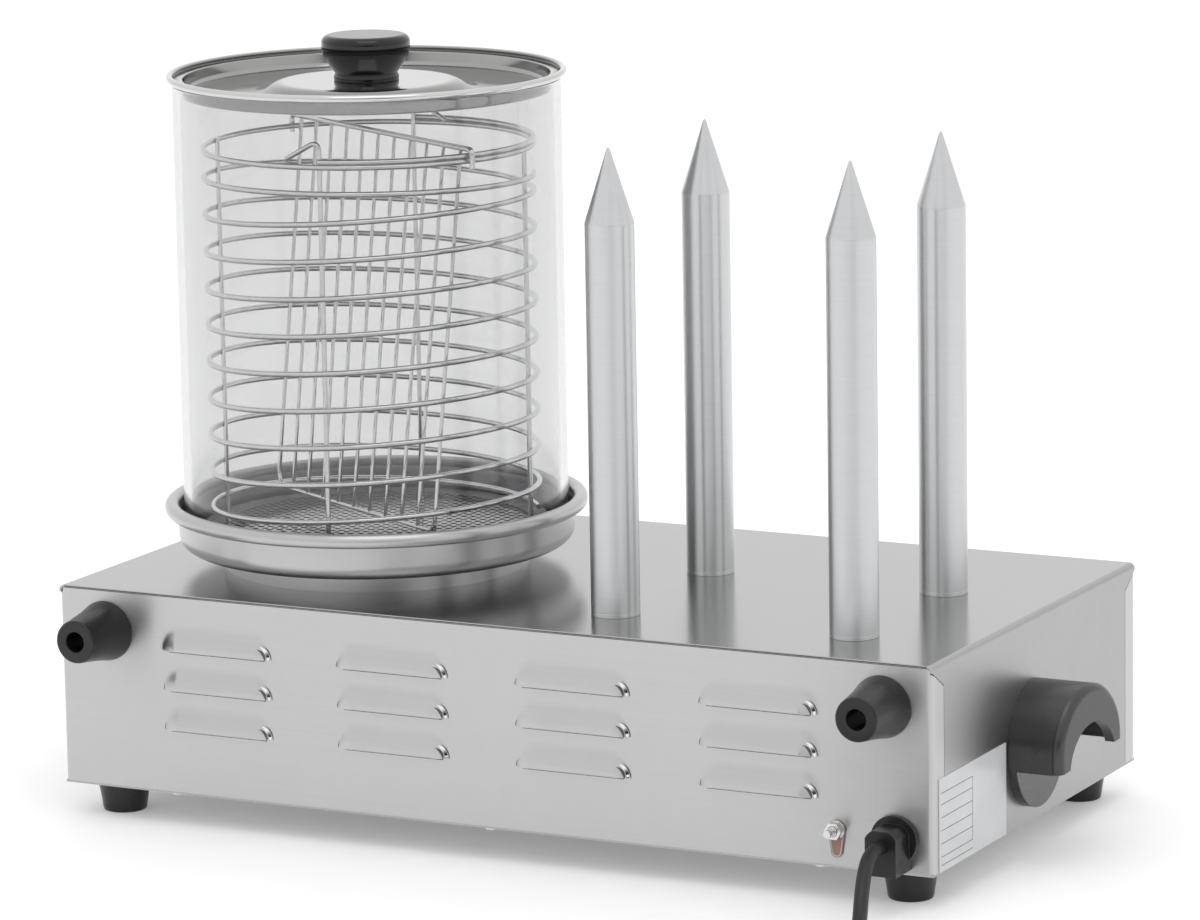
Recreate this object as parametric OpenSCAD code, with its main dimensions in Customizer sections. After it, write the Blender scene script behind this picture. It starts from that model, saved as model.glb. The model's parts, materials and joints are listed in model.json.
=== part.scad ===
// Hot dog maker: a steam glass for sausages and four heated spikes for rolls on one sheet steel base.
// +Z is up, the controls face -Y and the vented rear faces +Y. The origin is under the middle of the base.

/* [Housing] */
// Width of the housing, side to side
body_w = 490; // [440:1:560]
// Depth of the housing, front to back
body_d = 258; // [245:1:300]
// Height of the sheet steel housing
body_h = 104.5; // [98:0.5:130]
// Thickness of the steel sheet
sheet = 1.2; // [0.8:0.1:1.6]
// Outer radius of the folded edges
bend_r = 3; // [2.5:0.5:5]
// Width of the flanges that the end panels turn round the sides
flange_w = 13; // [10:0.5:18]
// Height of the slanted top of those flanges
flange_drop = 9; // [5:0.5:12]
// Width of the flanges that carry the bottom plate
floor_flange_w = 38; // [36:1:44]
// Width of the flanges under the top sheet
top_flange_w = 12; // [8:1:20]
// Width of the strips behind the side seams, past the seam
seam_lap = 6; // [4:0.5:10]
// Gap along a seam between two sheets
seam = 0.3; // [0.2:0.1:0.6]

/* [Rear vents] */
// Length of one louvre
louvre_l = 64; // [50:1:80]
// Height of one louvre
louvre_h = 8.5; // [7:0.5:11]
// How far a louvre bulges out of the panel
louvre_bulge = 3; // [2:0.25:6]
// Distance of the louvres from the sides of the housing
louvre_side = 60.9; // [48:0.1:80]
// Distance between louvre rows
louvre_pitch_z = 20.7; // [16:0.1:24]
// Open edge of the upper row, below the top
louvre_top = 29.3; // [26:0.1:34]
// Columns of louvres
louvre_cols = 4; // [2:1:4]
// Rows of louvres
louvre_rows = 3; // [1:1:3]
// Length of a slot in the bottom plate
slot_l = 20; // [12:0.5:26]
// Width of a slot
slot_w = 5; // [3:0.5:8]
// Distance between slots
slot_pitch = 32; // [28:0.5:36]
// Distance of the two rows of slots from the middle
slot_row = 30; // [15:0.5:45]
// Slots in a row
slot_count = 11; // [5:1:11]

/* [Feet, bumpers and screws] */
// Height of the rubber feet
foot_h = 17; // [14:0.5:24]
// Radius of a foot at its top
foot_r_top = 14.3; // [12:0.1:16]
// Radius of a foot on the table
foot_r_low = 11.2; // [9:0.1:13]
// Distance of a foot from the side and from the end of the housing
foot_inset = 22; // [20:0.5:26]
// Length of the rear bumpers
bumper_l = 30; // [22:0.5:40]
// Radius of a bumper on the panel
bumper_r_base = 15.7; // [14:0.1:18]
// Radius of a bumper at its free end
bumper_r_end = 11; // [10:0.1:13]
// Distance of a bumper axis from the side of the housing
bumper_inset = 27; // [24:0.5:36]
// Distance of a bumper axis below the top
bumper_top = 22.2; // [20:0.1:26]
// Radius of the screw well in feet and bumpers
well_r = 5.2; // [4.9:0.1:6]
// Rubber left between the screw head and the panel
well_floor = 6; // [4:0.5:9]
// Radius of the machine screws
screw_r = 2.5; // [2:0.1:2.6]
// Radius of their heads
head_r = 4.5; // [3.8:0.1:4.7]
// Height of their heads
head_h = 3; // [2:0.1:4]
// Width of their nuts across the flats
nut_w = 8; // [7.5:0.1:9]
// Height of their nuts
nut_h = 4; // [3:0.1:5]
// Thread that stands past a nut
screw_over = 2; // [1:0.5:4]
// Clearance round a screw
hole_gap = 0.25; // [0.15:0.05:0.5]
// Radius of the bottom plate screws
cover_screw_r = 1.9; // [1.5:0.1:2.5]
// Radius of their heads
cover_head_r = 3.7; // [3:0.1:4.5]
// Height of their heads
cover_head_h = 2.2; // [1.6:0.1:3]
// Distance of the bottom plate screws from the end panels
cover_inset = 8; // [6:0.5:10]
// Distance of the outer bottom plate screws from the sides
cover_side = 63; // [50:1:80]

/* [Handles] */
// Radius of the round handles
grip_r = 32.2; // [28:0.1:36]
// How far the middle of the handles stands out
grip_reach = 32.3; // [28:0.1:40]
// Slant of the end of the hood, lower to the rear, in degrees
grip_slant = 6.5; // [0:0.5:8]
// Turn of the handles about their axis, rear side down, in degrees
grip_turn = 6.5; // [0:0.5:8]
// Thickness of the round base
grip_base = 5; // [4:0.5:10]
// Wall of the hood
grip_wall = 4; // [3:0.25:6]
// Thickness of the end of the hood
grip_cap = 5; // [4:0.25:8]
// Radius of the rounded outer edge
grip_round = 4.5; // [3:0.5:6]
// Lower edge of the hood, below the handle axis
grip_ledge = 4.5; // [2:0.5:10]
// Width of the arch in the end of the hood
arch_w = 45; // [36:0.2:50]
// Height of the arch
arch_h = 17.4; // [10:0.2:20]
// Handle axis behind the middle of the side
grip_y = 7.5; // [-10:0.5:8]
// Handle axis below the top
grip_top = 64.2; // [60:0.1:68]
// Screws from the handle axis, to both sides
grip_screw_y = 15; // [8:0.5:18]
// Screws above the handle axis
grip_screw_z = 12; // [6:0.5:16]

/* [Rating plate] */
// Gap between the handle and the blank rating plate
plate_gap = 1.5; // [1:0.5:10]
// Height of the rating plate
plate_h = 46.5; // [30:0.5:47]
// Thickness of the rating plate
plate_t = 0.4; // [0.3:0.1:0.8]
// Distance of the plate from the rear of the housing
plate_rear = 6; // [4:0.5:9]
// Distance of the plate from the bottom of the housing
plate_low = 1; // [0.5:0.5:6]

/* [Spikes] */
// Radius of the aluminium spikes
spike_r = 12.3; // [10:0.1:14]
// Length of the round part of a spike
spike_l = 197.5; // [150:0.5:220]
// Length of the pointed end
spike_tip_l = 37.5; // [25:0.5:45]
// Radius of the blunted point
spike_tip_r = 0.6; // [0.4:0.1:2]
// Distance of the middle of the spike group from the left side of the housing
spike_side = 127.6; // [110:0.1:135]
// Distance of the middle of the spike group from the rear of the housing
spike_rear = 100.8; // [97:0.1:112]
// Distance between spikes, side to side
spike_pitch_x = 130.7; // [110:0.1:140]
// Distance between spikes, front to back
spike_pitch_y = 108.6; // [90:0.1:120]
// Radius of the threaded tail under the top sheet
tail_r = 8; // [7:0.1:9]
// Length of the tail below the top sheet
tail_l = 14; // [12:0.5:18]
// Width of the tail nut across the flats
tail_nut_w = 24; // [22:0.5:28]
// Height of the tail nut
tail_nut_h = 7; // [5:0.5:9]
// Radius of the heating cartridge in a spike
cartridge_r = 5; // [3.5:0.1:6]
// Length of the heating cartridge
cartridge_l = 150; // [100:1:170]
// Clearance round the cartridge
cartridge_gap = 0.15; // [0.1:0.05:0.3]

/* [Hot plate] */
// Distance of the steam glass's axis from the right side of the housing
stack_side = 124; // [118:0.1:130]
// Middle of the steam glass, behind the housing's middle
stack_y = 14.3; // [5:0.1:16]
// Radius of the hot plate
hot_r = 79.3; // [72:0.1:88]
// Thickness of the hot plate
hot_h = 10; // [10:0.5:14]
// Radius of the heating ring under the hot plate
element_r = 55; // [45:0.5:60]
// Radius of the heating ring's tube
element_tube_r = 4; // [3:0.1:4.2]
// Clearance of the heating ring in its groove
element_gap = 0.2; // [0.1:0.05:0.4]
// Open angle between the ends of the heating ring
element_open = 40; // [25:1:60]
// Length of the ring's terminals below the top sheet
terminal_l = 22; // [12:0.5:30]
// Radius of the circle of hot plate studs
stud_circle_r = 30; // [20:0.5:38]

/* [Water pan] */
// Clearance of the glass in the pan
pan_fit = 1.5; // [1:0.1:3]
// Thickness of the pan
pan_t = 1.5; // [1:0.1:1.8]
// Outer radius of the curve round the pan floor
pan_round = 8; // [5:0.5:10]
// Height of the pan to the middle of its rolled rim
pan_h = 21.7; // [18:0.1:40]
// Radius of the rolled rim
rim_r = 3.8; // [2.5:0.1:4.5]
// Middle of the rolled rim, past the pan wall
rim_over = 3.2; // [2:0.1:3.6]
// Gap between two pieces that stand on each other
rest_gap = 0.25; // [0.15:0.05:0.35]

/* [Steam plate] */
// Clearance of the perforated plate in the glass
sieve_fit = 3; // [1.5:0.1:6]
// Thickness of the perforated plate
sieve_t = 1.2; // [0.8:0.1:1.6]
// Height of the skirt that the plate stands on
sieve_h = 9; // [7:0.5:14]
// Radius of the perforated area
sieve_area_r = 74; // [50:1:82]
// Radius of one steam hole
sieve_hole_r = 2; // [1.5:0.1:2.6]
// Distance between steam holes
sieve_pitch = 9; // [8.5:0.5:14]

/* [Glass] */
// Outer radius of the glass cylinder
glass_r = 100; // [95:0.5:105]
// Wall of the glass
glass_t = 4; // [3:0.25:4.5]
// Height of the glass
glass_h = 239.2; // [238:0.5:270]

/* [Basket] */
// Clearance of the basket in the glass
basket_fit = 9.5; // [8:0.1:14]
// Radius of the ring wire
ring_wire = 1.5; // [1.2:0.1:1.8]
// Radius of the upright wires
upright_wire = 1.3; // [1:0.1:1.6]
// Depth that welded wires sink into each other
weld = 0.35; // [0.3:0.05:0.5]
// Whole turns of the spiral wire, below its level start
turn_count = 9; // [7:1:9]
// Distance between two turns
turn_pitch = 19.1; // [17:0.1:19.4]
// End of the spiral above the top sheet
turn_low = 26; // [25:0.1:30]
// Fall of the spiral's last half turn
turn_last = 6.25; // [5:0.05:9]
// Rise of the spiral's nearly level first half turn
turn_level = 1.15; // [0:0.05:3]
// Lean of each half turn, in degrees
turn_lean = 1.25; // [0.5:0.05:2]
// Direction in which the half turns meet
turn_split = 27; // [20:1:34]
// Joint left between two half turns
turn_joint = 0.04; // [0.02:0.01:0.1]
// Height of the closed top ring above the start of the turns
ring_gap = 14.95; // [12:0.05:16]
// Direction of the first upright
upright_turn = 102; // [92:1:112]
// Height of the lifting hooks above the top ring
hook_rise = 12; // [11:0.1:14]
// Radius of a hook's bend
hook_bend = 8.5; // [7:0.5:10]
// Angle of a hook's bend
hook_turn = 160; // [120:1:165]

/* [Divider] */
// Direction of the divider across the basket
divider_turn = 150.4; // [146:0.1:155]
// Distance of the divider's top wire from the basket's axis
divider_offset = 6.5; // [4:0.1:10]
// Lean of the divider from top to bottom
divider_lean = 20.5; // [10:0.5:22]
// Radius of the divider's frame wire
divider_wire = 1.5; // [1.2:0.1:1.6]
// Radius of the divider's thin wires
divider_thin = 1; // [0.8:0.1:1.2]
// Thin wires in the divider
divider_count = 11; // [7:1:11]
// Distance between the thin wires
divider_pitch = 15.6; // [12:0.1:15.6]
// Bottom wire of the divider, above the end of the spiral
divider_over = 3.9; // [2:0.1:6]
// Length of the hooks at both ends of the divider
divider_hook = 10; // [8:0.5:14]
// Clearance of the divider's hooks round the rings
divider_gap = 0.6; // [0.4:0.1:1]

/* [Lid] */
// Lid past the glass
lid_over = 3; // [2.5:0.1:5]
// Thickness of the lid
lid_t = 1.2; // [0.8:0.1:1.5]
// Radius of the lid's rolled rim
lid_bead = 1.9; // [1.5:0.1:2.4]
// Depth of the dish below the glass edge
lid_dish = 7.2; // [6:0.1:11]
// Clearance of the lid's skirt in the glass
lid_gap = 1.2; // [0.8:0.1:2]
// Radius of the raised middle at its foot
dome_r = 54; // [46:0.5:60]
// Radius of the raised middle at its top
dome_top_r = 47; // [40:0.5:50]
// Height of the raised middle above the dish
dome_h = 5.8; // [5:0.1:12]
// Largest radius of the lid's knob
knob_r = 22.9; // [20:0.1:27]
// Radius of the knob's neck
knob_neck_r = 16; // [13:0.1:18]
// Height of the knob
knob_h = 23.5; // [20:0.5:30]
// Height of the collar under the knob's neck
knob_collar_h = 2; // [1:0.25:3]
// Width of that collar past the neck
knob_collar = 0.8; // [0.5:0.1:3]
// Height where the neck starts to flare
knob_neck_h = 3.75; // [2.5:0.25:4]
// Height of the flare
knob_flare_h = 14; // [9:0.5:15]
// Radius of the knob's upper edge
knob_edge = 4; // [2:0.25:5]
// Depth of the screw hole in the knob
knob_bore_h = 13; // [10:0.5:16]

/* [Controls] */
// Radius of the temperature knob
dial_knob_r = 21; // [18:0.5:24]
// Height of the temperature knob
dial_knob_h = 27; // [20:0.5:34]
// Height of the knob's skirt
dial_skirt_h = 8; // [6:0.5:10]
// Taper of the knob's skirt
dial_taper = 2; // [1:0.25:3]
// Height of the knob's round middle
dial_barrel_h = 20; // [16:0.5:22]
// Radius of the knob's round middle
dial_barrel_r = 15; // [12:0.5:17]
// Width of the bar across the knob
grip_bar_w = 9; // [6:0.5:12]
// Depth of the shaft in the knob
shaft_in_knob = 16; // [10:0.5:18]
// Radius of the dial behind the knob
dial_r = 30; // [27:0.5:34]
// Thickness of the dial
dial_t = 1; // [0.8:0.1:1.5]
// Gap between the dial and the knob
dial_gap = 2; // [1:0.25:3]
// Radius of the control shaft
shaft_r = 3; // [2.5:0.1:3.5]
// Running clearance of the control shaft
shaft_gap = 0.06; // [0.03:0.01:0.1]
// Depth of the shaft in the thermostat
shaft_in = 14; // [8:0.5:18]
// Radius of the thermostat's threaded neck
bush_r = 5; // [4.6:0.1:6]
// Size of the thermostat's box, side to side and up
thermostat_w = 38; // [30:1:48]
// Depth of the thermostat's box
thermostat_d = 28; // [20:1:36]
// Controls below the top of the housing
control_top = 54; // [48:0.5:60]
// Width of the rocker switch
rocker_w = 15.4; // [13:0.1:18]
// Length of the rocker switch
rocker_l = 26; // [22:0.1:30]
// Lean of the rocker to each side of its middle
rocker_lean = 8; // [6:0.5:10]
// Height of the rocker's middle above its pin
rocker_h = 5; // [4:0.1:6]
// Clearance round the rocker
rocker_gap = 0.5; // [0.3:0.05:0.8]
// Wall of the rocker's frame
rocker_wall = 1.6; // [1.2:0.1:2.2]
// Width of the rim round the rocker
rocker_rim = 3; // [2.5:0.1:4]
// Height of that rim
rocker_rim_h = 2.4; // [1.6:0.1:3]
// Depth of the switch behind the panel
rocker_depth = 22; // [16:0.5:28]
// Depth of the well under the rocker
rocker_well = 13; // [9:0.5:15]
// Depth of the rocker below its pin
rocker_low = 4.5; // [3:0.1:5]
// Radius of the rocker's pin
pin_r = 1.5; // [1.2:0.1:1.8]
// Running clearance of the rocker's pin
pin_gap = 0.06; // [0.03:0.01:0.1]
// Radius of a pilot lamp's lens
lamp_r = 5; // [4:0.1:6]
// Width of a lamp's rim
lamp_rim = 2; // [1.5:0.1:3]
// Height of a lamp's round lens past its rim
lamp_dome = 2.5; // [1.5:0.1:3.5]
// Depth of a lamp behind the panel
lamp_depth = 20; // [12:0.5:26]
// Distance of the lamps from their control
lamp_offset = 56; // [48:0.5:62]
// Length of the terminal block inside the housing
block_l = 44; // [36:1:60]
// Width of the terminal block
block_w = 20; // [18:1:24]
// Height of the terminal block
block_h = 16; // [12:0.5:20]
// Depth of the screw wells in the terminal block
block_well = 8; // [5:0.5:10]
// Terminals in the block
block_count = 5; // [3:1:5]
// Distance of the terminal block from the side of the housing
block_side = 70; // [60:1:90]
// Distance of the terminal block from the rear flange
block_rear = 20; // [10:1:30]

/* [Earth stud and cord] */
// Distance of the earth stud from the side of the housing
earth_inset = 51; // [47:0.5:56]
// Earth stud above the bottom of the housing
earth_z = 19.3; // [18:0.1:22]
// Thickness of the earth tag and of the washer
tag_t = 1; // [0.6:0.1:1.5]
// Radius of the tag's round eye
tag_r = 4.6; // [4.4:0.1:5.5]
// Radius of the tag's lower end
tag_end_r = 3; // [2:0.1:3.5]
// Drop of the tag's lower end
tag_drop = 11; // [9:0.5:12]
// Radius of the earth stud's thinner free end
stud_end_r = 2; // [1.5:0.05:2.1]
// Length of the earth stud's free end
stud_free = 6; // [4:0.5:9]
// Shank left between the outer earth nut and the free end
stud_step = 0.4; // [0.2:0.1:1]
// Distance of the cord gland from the side of the housing
gland_inset = 20; // [18:0.5:26]
// Cord gland above the bottom of the housing
gland_z = 17.4; // [17:0.1:22]
// Radius of the gland's flange
gland_r = 12.2; // [11:0.1:13]
// Thickness of the gland's flange
gland_t = 3; // [2:0.1:4]
// Width of the gland's block
gland_w = 16.4; // [14:0.1:18]
// Block above the cord
gland_up = 8; // [6:0.1:9]
// Block below the cord
gland_down = 14.5; // [10:0.1:15]
// Length of the block outside the panel
gland_l = 18.5; // [15:0.5:24]
// Radius of the gland's neck through the panel
gland_neck_r = 8; // [6.5:0.1:9]
// Width of the gland's nut across the flats
gland_nut_w = 22; // [20:0.5:24]
// Height of the gland's nut
gland_nut_h = 5; // [4:0.1:7]
// Diameter of the mains cord
cord_d = 7.2; // [6.5:0.1:7.6]
// Radius of the coil's outer turn, at the middle of the cord
coil_r = 48; // [44:0.5:52]
// Distance between turns of the coil
coil_pitch = 8; // [7.9:0.1:8.4]
// Turns in one layer of the coil
coil_turns = 2.375; // [1.375:1:2.375]
// Thickness of the coil's tie
tie_t = 1; // [0.8:0.1:1.5]
// Width of the coil's tie
tie_w = 11; // [8:0.5:14]
// Radius of the plug
plug_r = 18.4; // [16:0.1:19]
// Length of the plug behind its pins
plug_l = 54; // [48:0.5:60]
// Length of the plug's sleeve round the cord
plug_neck_l = 20; // [14:0.5:24]
// Length of the plug's shoulder
plug_shoulder_l = 15; // [10:0.5:18]
// Wall of the plug's sleeve at its end
plug_neck_t = 1.2; // [1:0.1:2]
// Wall of the plug's sleeve at the shoulder
plug_neck_t_in = 3; // [2:0.1:4]
// Depth of the pins in the plug
plug_pin_in = 9.5; // [6:0.5:12]
// Radius of the plug's pins
plug_pin_r = 2.4; // [2:0.1:2.4]
// Length of the plug's pins
plug_pin_l = 19; // [15:0.5:20]
// Distance between the plug's pins
plug_pin_pitch = 19; // [14:0.5:20]

/* [Hidden] */
$fn = 64;
STEEL = "#b9babb";
POLISHED = "#cfd1d3";
ALUMINIUM = "#c6c8ca";
RUBBER = "#262627";
PLASTIC = "#38393b";
GLOSS = "#131314";
BRASS = "#c8a54a";
// Length by which a cutting shape stands past what it cuts
cut = 1;
half_w = body_w / 2;
half_d = body_d / 2;
base_z = foot_h;
floor_z = base_z + sheet;
top_z = foot_h + body_h;
// Louvre: radius of its round back, and how deep its axis lies behind the panel's face
louvre_round = (louvre_h * louvre_h + louvre_bulge * louvre_bulge) / (2 * louvre_bulge);
louvre_axis = louvre_round - louvre_bulge;
louvre_pitch_x = (body_w - 2 * louvre_side - louvre_l) / (louvre_cols - 1);
// Feet, bumpers and their nuts
foot_x = half_w - foot_inset;
foot_y = half_d - foot_inset;
bumper_x = half_w - bumper_inset;
bumper_z = top_z - bumper_top;
nut_round = nut_w / 2 / cos(30);
// Handles
grip_z = top_z - grip_top;
// Room that the slanted end leaves round the hood
grip_over = 0.25;
arch_r = (arch_w * arch_w / 4 + arch_h * arch_h) / (2 * arch_h);
// Rating plate, from the handle to the rear
plate_y = grip_y + grip_r + plate_gap;
plate_l = half_d - plate_rear - plate_y;
// Middles of the two groups on the top sheet
stack_x = half_w - stack_side;
spike_mid_x = half_w - spike_side;
spike_mid_y = half_d - spike_rear;
// Spikes
spike_bore_r = cartridge_r + cartridge_gap;
spike_xy = [for (i = [0:3]) [-spike_mid_x + (i % 2 - 0.5) * spike_pitch_x,
  spike_mid_y + (floor(i / 2) - 0.5) * spike_pitch_y]];
// Radii of the stacked pieces, from the glass inwards and outwards
glass_in_r = glass_r - glass_t;
pan_r = glass_r + pan_fit + pan_t;
sieve_r = glass_in_r - sieve_fit;
ring_r = glass_in_r - basket_fit - ring_wire;
lid_r = glass_r + lid_over;
// How far the curve round the pan floor lifts the glass edge off the floor
pan_round_in = pan_round - pan_t;
glass_past = max(0, glass_r - pan_r + pan_round);
seat_rise = pan_round_in - sqrt(pan_round_in * pan_round_in - glass_past * glass_past);
// Heights of the stacked pieces above the top sheet
pan_z = hot_h + rest_gap;
pan_floor = pan_z + pan_t;
sieve_z = pan_floor + rest_gap;
sieve_top = sieve_z + sieve_h;
glass_z = pan_floor + seat_rise + rest_gap;
glass_top = glass_z + glass_h;
lid_z = glass_top + rest_gap;
dish_z = lid_z - lid_dish;
dome_z = dish_z + dome_h;
// Basket
turn_top = turn_low + turn_last + turn_count * turn_pitch;
turn_ends = concat([turn_top - turn_level],
  [for (i = [0:2 * turn_count]) turn_top - i * turn_pitch / 2], [turn_low]);
turn_open = turn_joint / ring_r * 90 / PI;
ring_top = turn_top + ring_gap;
upright_r = ring_r - ring_wire - upright_wire + weld;
upright_foot = sieve_top + rest_gap;
half_ring_z = ring_top + 2 * ring_wire - weld;
// Divider, in a frame whose X runs along it and whose Y points to its leaning side
divider_z = half_ring_z + ring_wire + rest_gap + divider_wire;
divider_low = turn_low + divider_over;
divider_end = sqrt(ring_r * ring_r - divider_offset * divider_offset) + ring_wire + divider_wire + divider_gap;
divider_half = (divider_count - 1) / 2 * divider_pitch;
// Controls on the front panel
control_z = top_z - control_top;
panel_y = -half_d;
knob_base_y = panel_y - dial_t - dial_gap;
rocker_pin_y = panel_y;
rocker_end_h = rocker_h + rocker_l / 2 * tan(rocker_lean);
rocker_sweep = norm([rocker_l / 2, rocker_end_h]);
opening_l = 2 * (rocker_sweep * cos(atan2(rocker_end_h, rocker_l / 2) - rocker_lean) + rocker_gap);
opening_w = rocker_w + 2 * rocker_gap;
// Earth stud, cord gland and bottom plate screws
earth_x = half_w - earth_inset;
gland_x = half_w - gland_inset;
cover_x = half_w - cover_side;
// Cord
cord_r = cord_d / 2;
gland_y = half_d + gland_l;
tie_gap = 0.2;
coil_x = -200;
coil_y = 312;
coil_z = cord_r + tie_gap + tie_t;
coil_layer = coil_pitch;
coil_total = 2 * coil_turns + 0.5;
coil_in_r = coil_r - coil_turns * coil_pitch;
coil_rings = 24;
coil_sides = 6;
cord_sides = 10;
plug_x = coil_x + 46;
plug_y = coil_y + coil_r;
plug_z = plug_r + 0.1;
// Route of the cord's free stretch: out of the gland, down to the table and along it to the coil
lead_route = concat([[-gland_x, gland_y, base_z + gland_z], [-gland_x, gland_y + cord_d, base_z + gland_z]],
  [[-225.7, 163, 32], [-227.3, 171, 27], [-229.6, 179, 20.2], [-232.4, 187, 13.6], [-235.7, 196, 8.2],
  [-239, 206, 5], [-242.2, 219, 4], [-244.8, 234, 4], [-246.8, 252, 4.2], [-247.8, 272, 4.5]],
  [[coil_x - coil_r, coil_y - 2 * cord_d, coil_z], [coil_x - coil_r, coil_y, coil_z]]);
// Route of the short stretch between the coil and the plug
tail_route = [[coil_x, plug_y, coil_z + coil_layer], [coil_x + cord_d, plug_y, coil_z + coil_layer],
  [coil_x + 20, plug_y, 14.8], [coil_x + 32, plug_y, 17.2], [plug_x - cord_d, plug_y, plug_z],
  [plug_x, plug_y, plug_z]];

function unit(v) = v / norm(v);
function smooth(s) = s * s * (3 - 2 * s);
function turn_xy(a) = [cos(a), sin(a)];
// Radius and height of the coil after t turns: inwards, a climb in half a turn, and outwards again
function coil_radius(t) = t <= coil_turns ? coil_r - coil_pitch * t
  : t < coil_turns + 0.5 ? coil_in_r - coil_pitch * (t - coil_turns) * (1 - 2 * (t - coil_turns))
  : coil_in_r + coil_pitch * (t - coil_turns - 0.5);
function coil_height(t) = coil_z + coil_layer * smooth(min(1, max(0, 2 * (t - coil_turns))));
function coil_point(t) = let (a = 180 - 360 * t, r = coil_radius(t))
  [coil_x + r * cos(a), coil_y + r * sin(a), coil_height(t)];
coil_steps = round(coil_total * coil_rings);
coil_route = [for (i = [0:coil_steps]) coil_point(coil_total * i / coil_steps)];
coil_gap = min([for (i = [0:coil_steps]) for (j = [i + coil_rings / 2:coil_steps])
  norm(coil_route[i] - coil_route[j])]) - cord_d;
echo(coil_gap = coil_gap);

// A ring of points round a point of a route
function ring_points(p, d, r, n) = let (s = unit(cross(d, [0, 0, 1])), u = cross(s, d))
  [for (k = [0:n - 1]) p + r * (cos(360 * k / n) * s + sin(360 * k / n) * u)];
function route_dir(route, i) = unit(route[min(i + 1, len(route) - 1)] - route[max(i - 1, 0)]);

// A closed tube along a route
module tube(route, r, n) {
  last = len(route) - 1;
  points = [for (i = [0:last]) each ring_points(route[i], route_dir(route, i), r, n)];
  walls = [for (i = [0:last - 1]) for (k = [0:n - 1]) let (a = i * n + k, b = i * n + (k + 1) % n)
    each [[a, b, b + n], [a, b + n, a + n]]];
  first_cap = [for (k = [1:n - 2]) [0, k + 1, k]];
  last_cap = [for (k = [1:n - 2]) [last * n, last * n + k, last * n + k + 1]];
  polyhedron(points, concat(walls, first_cap, last_cap));
}

// Children turned so that their +Z points along +X, or along +Y
module facing_x() rotate([90, 0, 90]) children();
module facing_y() rotate([-90, 0, 0]) children();
module stack(z) translate([stack_x, stack_y, top_z + z]) children();

// Straight round wire between two points
module rod(p, q, r) {
  v = q - p;
  translate(p) rotate([0, acos(v[2] / norm(v)), atan2(v[1], v[0])]) cylinder(h = norm(v), r = r);
}

// Screw with its head under z = 0, and its nut
module screw(r, hr, hh, l) {
  cylinder(h = l, r = r);
  translate([0, 0, -hh]) cylinder(h = hh, r = hr);
}
module nut(w, h, bore) difference() {
  cylinder(h = h, r = w / 2 / cos(30), $fn = 6);
  translate([0, 0, -cut]) cylinder(h = h + 2 * cut, r = bore);
}

// Places that repeat
module at_feet() for (x = [-foot_x, foot_x], y = [-foot_y, foot_y]) translate([x, y, 0]) children();
module at_covers() for (x = [-cover_x, 0, cover_x], s = [-1, 1])
  translate([x, s * (half_d - cover_inset), 0]) children();
module at_bumpers() for (s = [-1, 1]) translate([s * bumper_x, half_d, bumper_z]) facing_y() children();
module at_grips() for (s = [0, 1]) mirror([s, 0, 0]) translate([half_w, grip_y, grip_z]) facing_x()
  rotate([0, 0, -grip_turn]) children();
module at_grip_screws() at_grips() for (s = [-1, 1]) translate([s * grip_screw_y, grip_screw_z, 0]) children();
module at_spikes() for (p = spike_xy) translate([p[0], p[1], top_z]) children();
module at_studs() for (a = [90, 210, 330]) stack(0)
  translate([stud_circle_r * cos(a), stud_circle_r * sin(a), 0]) children();
module at_terminals() for (s = [-1, 1]) stack(0) rotate(s * element_open / 2 - 90)
  translate([element_r, 0, 0]) children();
module at_knob() translate([stack_x, panel_y, control_z]) rotate([90, 0, 0]) children();
module at_rocker() translate([-spike_mid_x, panel_y, control_z]) rotate([90, 0, 0]) children();
module at_lamp(x) translate([x, panel_y, control_z]) rotate([90, 0, 0]) children();
module at_earth(y) translate([-earth_x, y, base_z + earth_z]) facing_y() children();
module at_gland(y) translate([-gland_x, y, base_z + gland_z]) facing_y() children();
lamp_round = (lamp_r * lamp_r + lamp_dome * lamp_dome) / (2 * lamp_dome);
lamp_steam_x = stack_x - lamp_offset;
lamp_spikes_x = -spike_mid_x + lamp_offset;

// Outline with two round upper corners, and the folded sheet along it
module fold_outline(w, h, r) {
  translate([-w / 2, 0]) square([w, h - r]);
  translate([-w / 2 + r, 0]) square([w - 2 * r, h]);
  for (s = [-1, 1]) translate([s * (w / 2 - r), h - r]) circle(r);
}
module fold_section(w, h) difference() {
  fold_outline(w, h, bend_r);
  translate([0, -cut]) fold_outline(w - 2 * sheet, h - sheet + cut, bend_r - sheet);
}

// Side view of the corner that the end panel's flange fills, larger all round by a gap
module flange_corner(gap) polygon([
  [half_d + cut, base_z - cut],
  [half_d + cut, top_z - bend_r - seam + gap],
  [half_d - flange_w - gap, top_z - bend_r - seam + gap - flange_drop],
  [half_d - flange_w - gap, base_z - cut]]);

// Rear view of the room under the housing's folded edge, where the end panel's corner closes the hole
module under_fold() translate([half_w - bend_r, top_z - bend_r]) {
  r = bend_r - sheet - seam;
  polygon(concat([[-bend_r, -bend_r], [r, -bend_r]], [for (a = [0:30:90]) r * turn_xy(a)], [[-bend_r, r]]));
}

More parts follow.
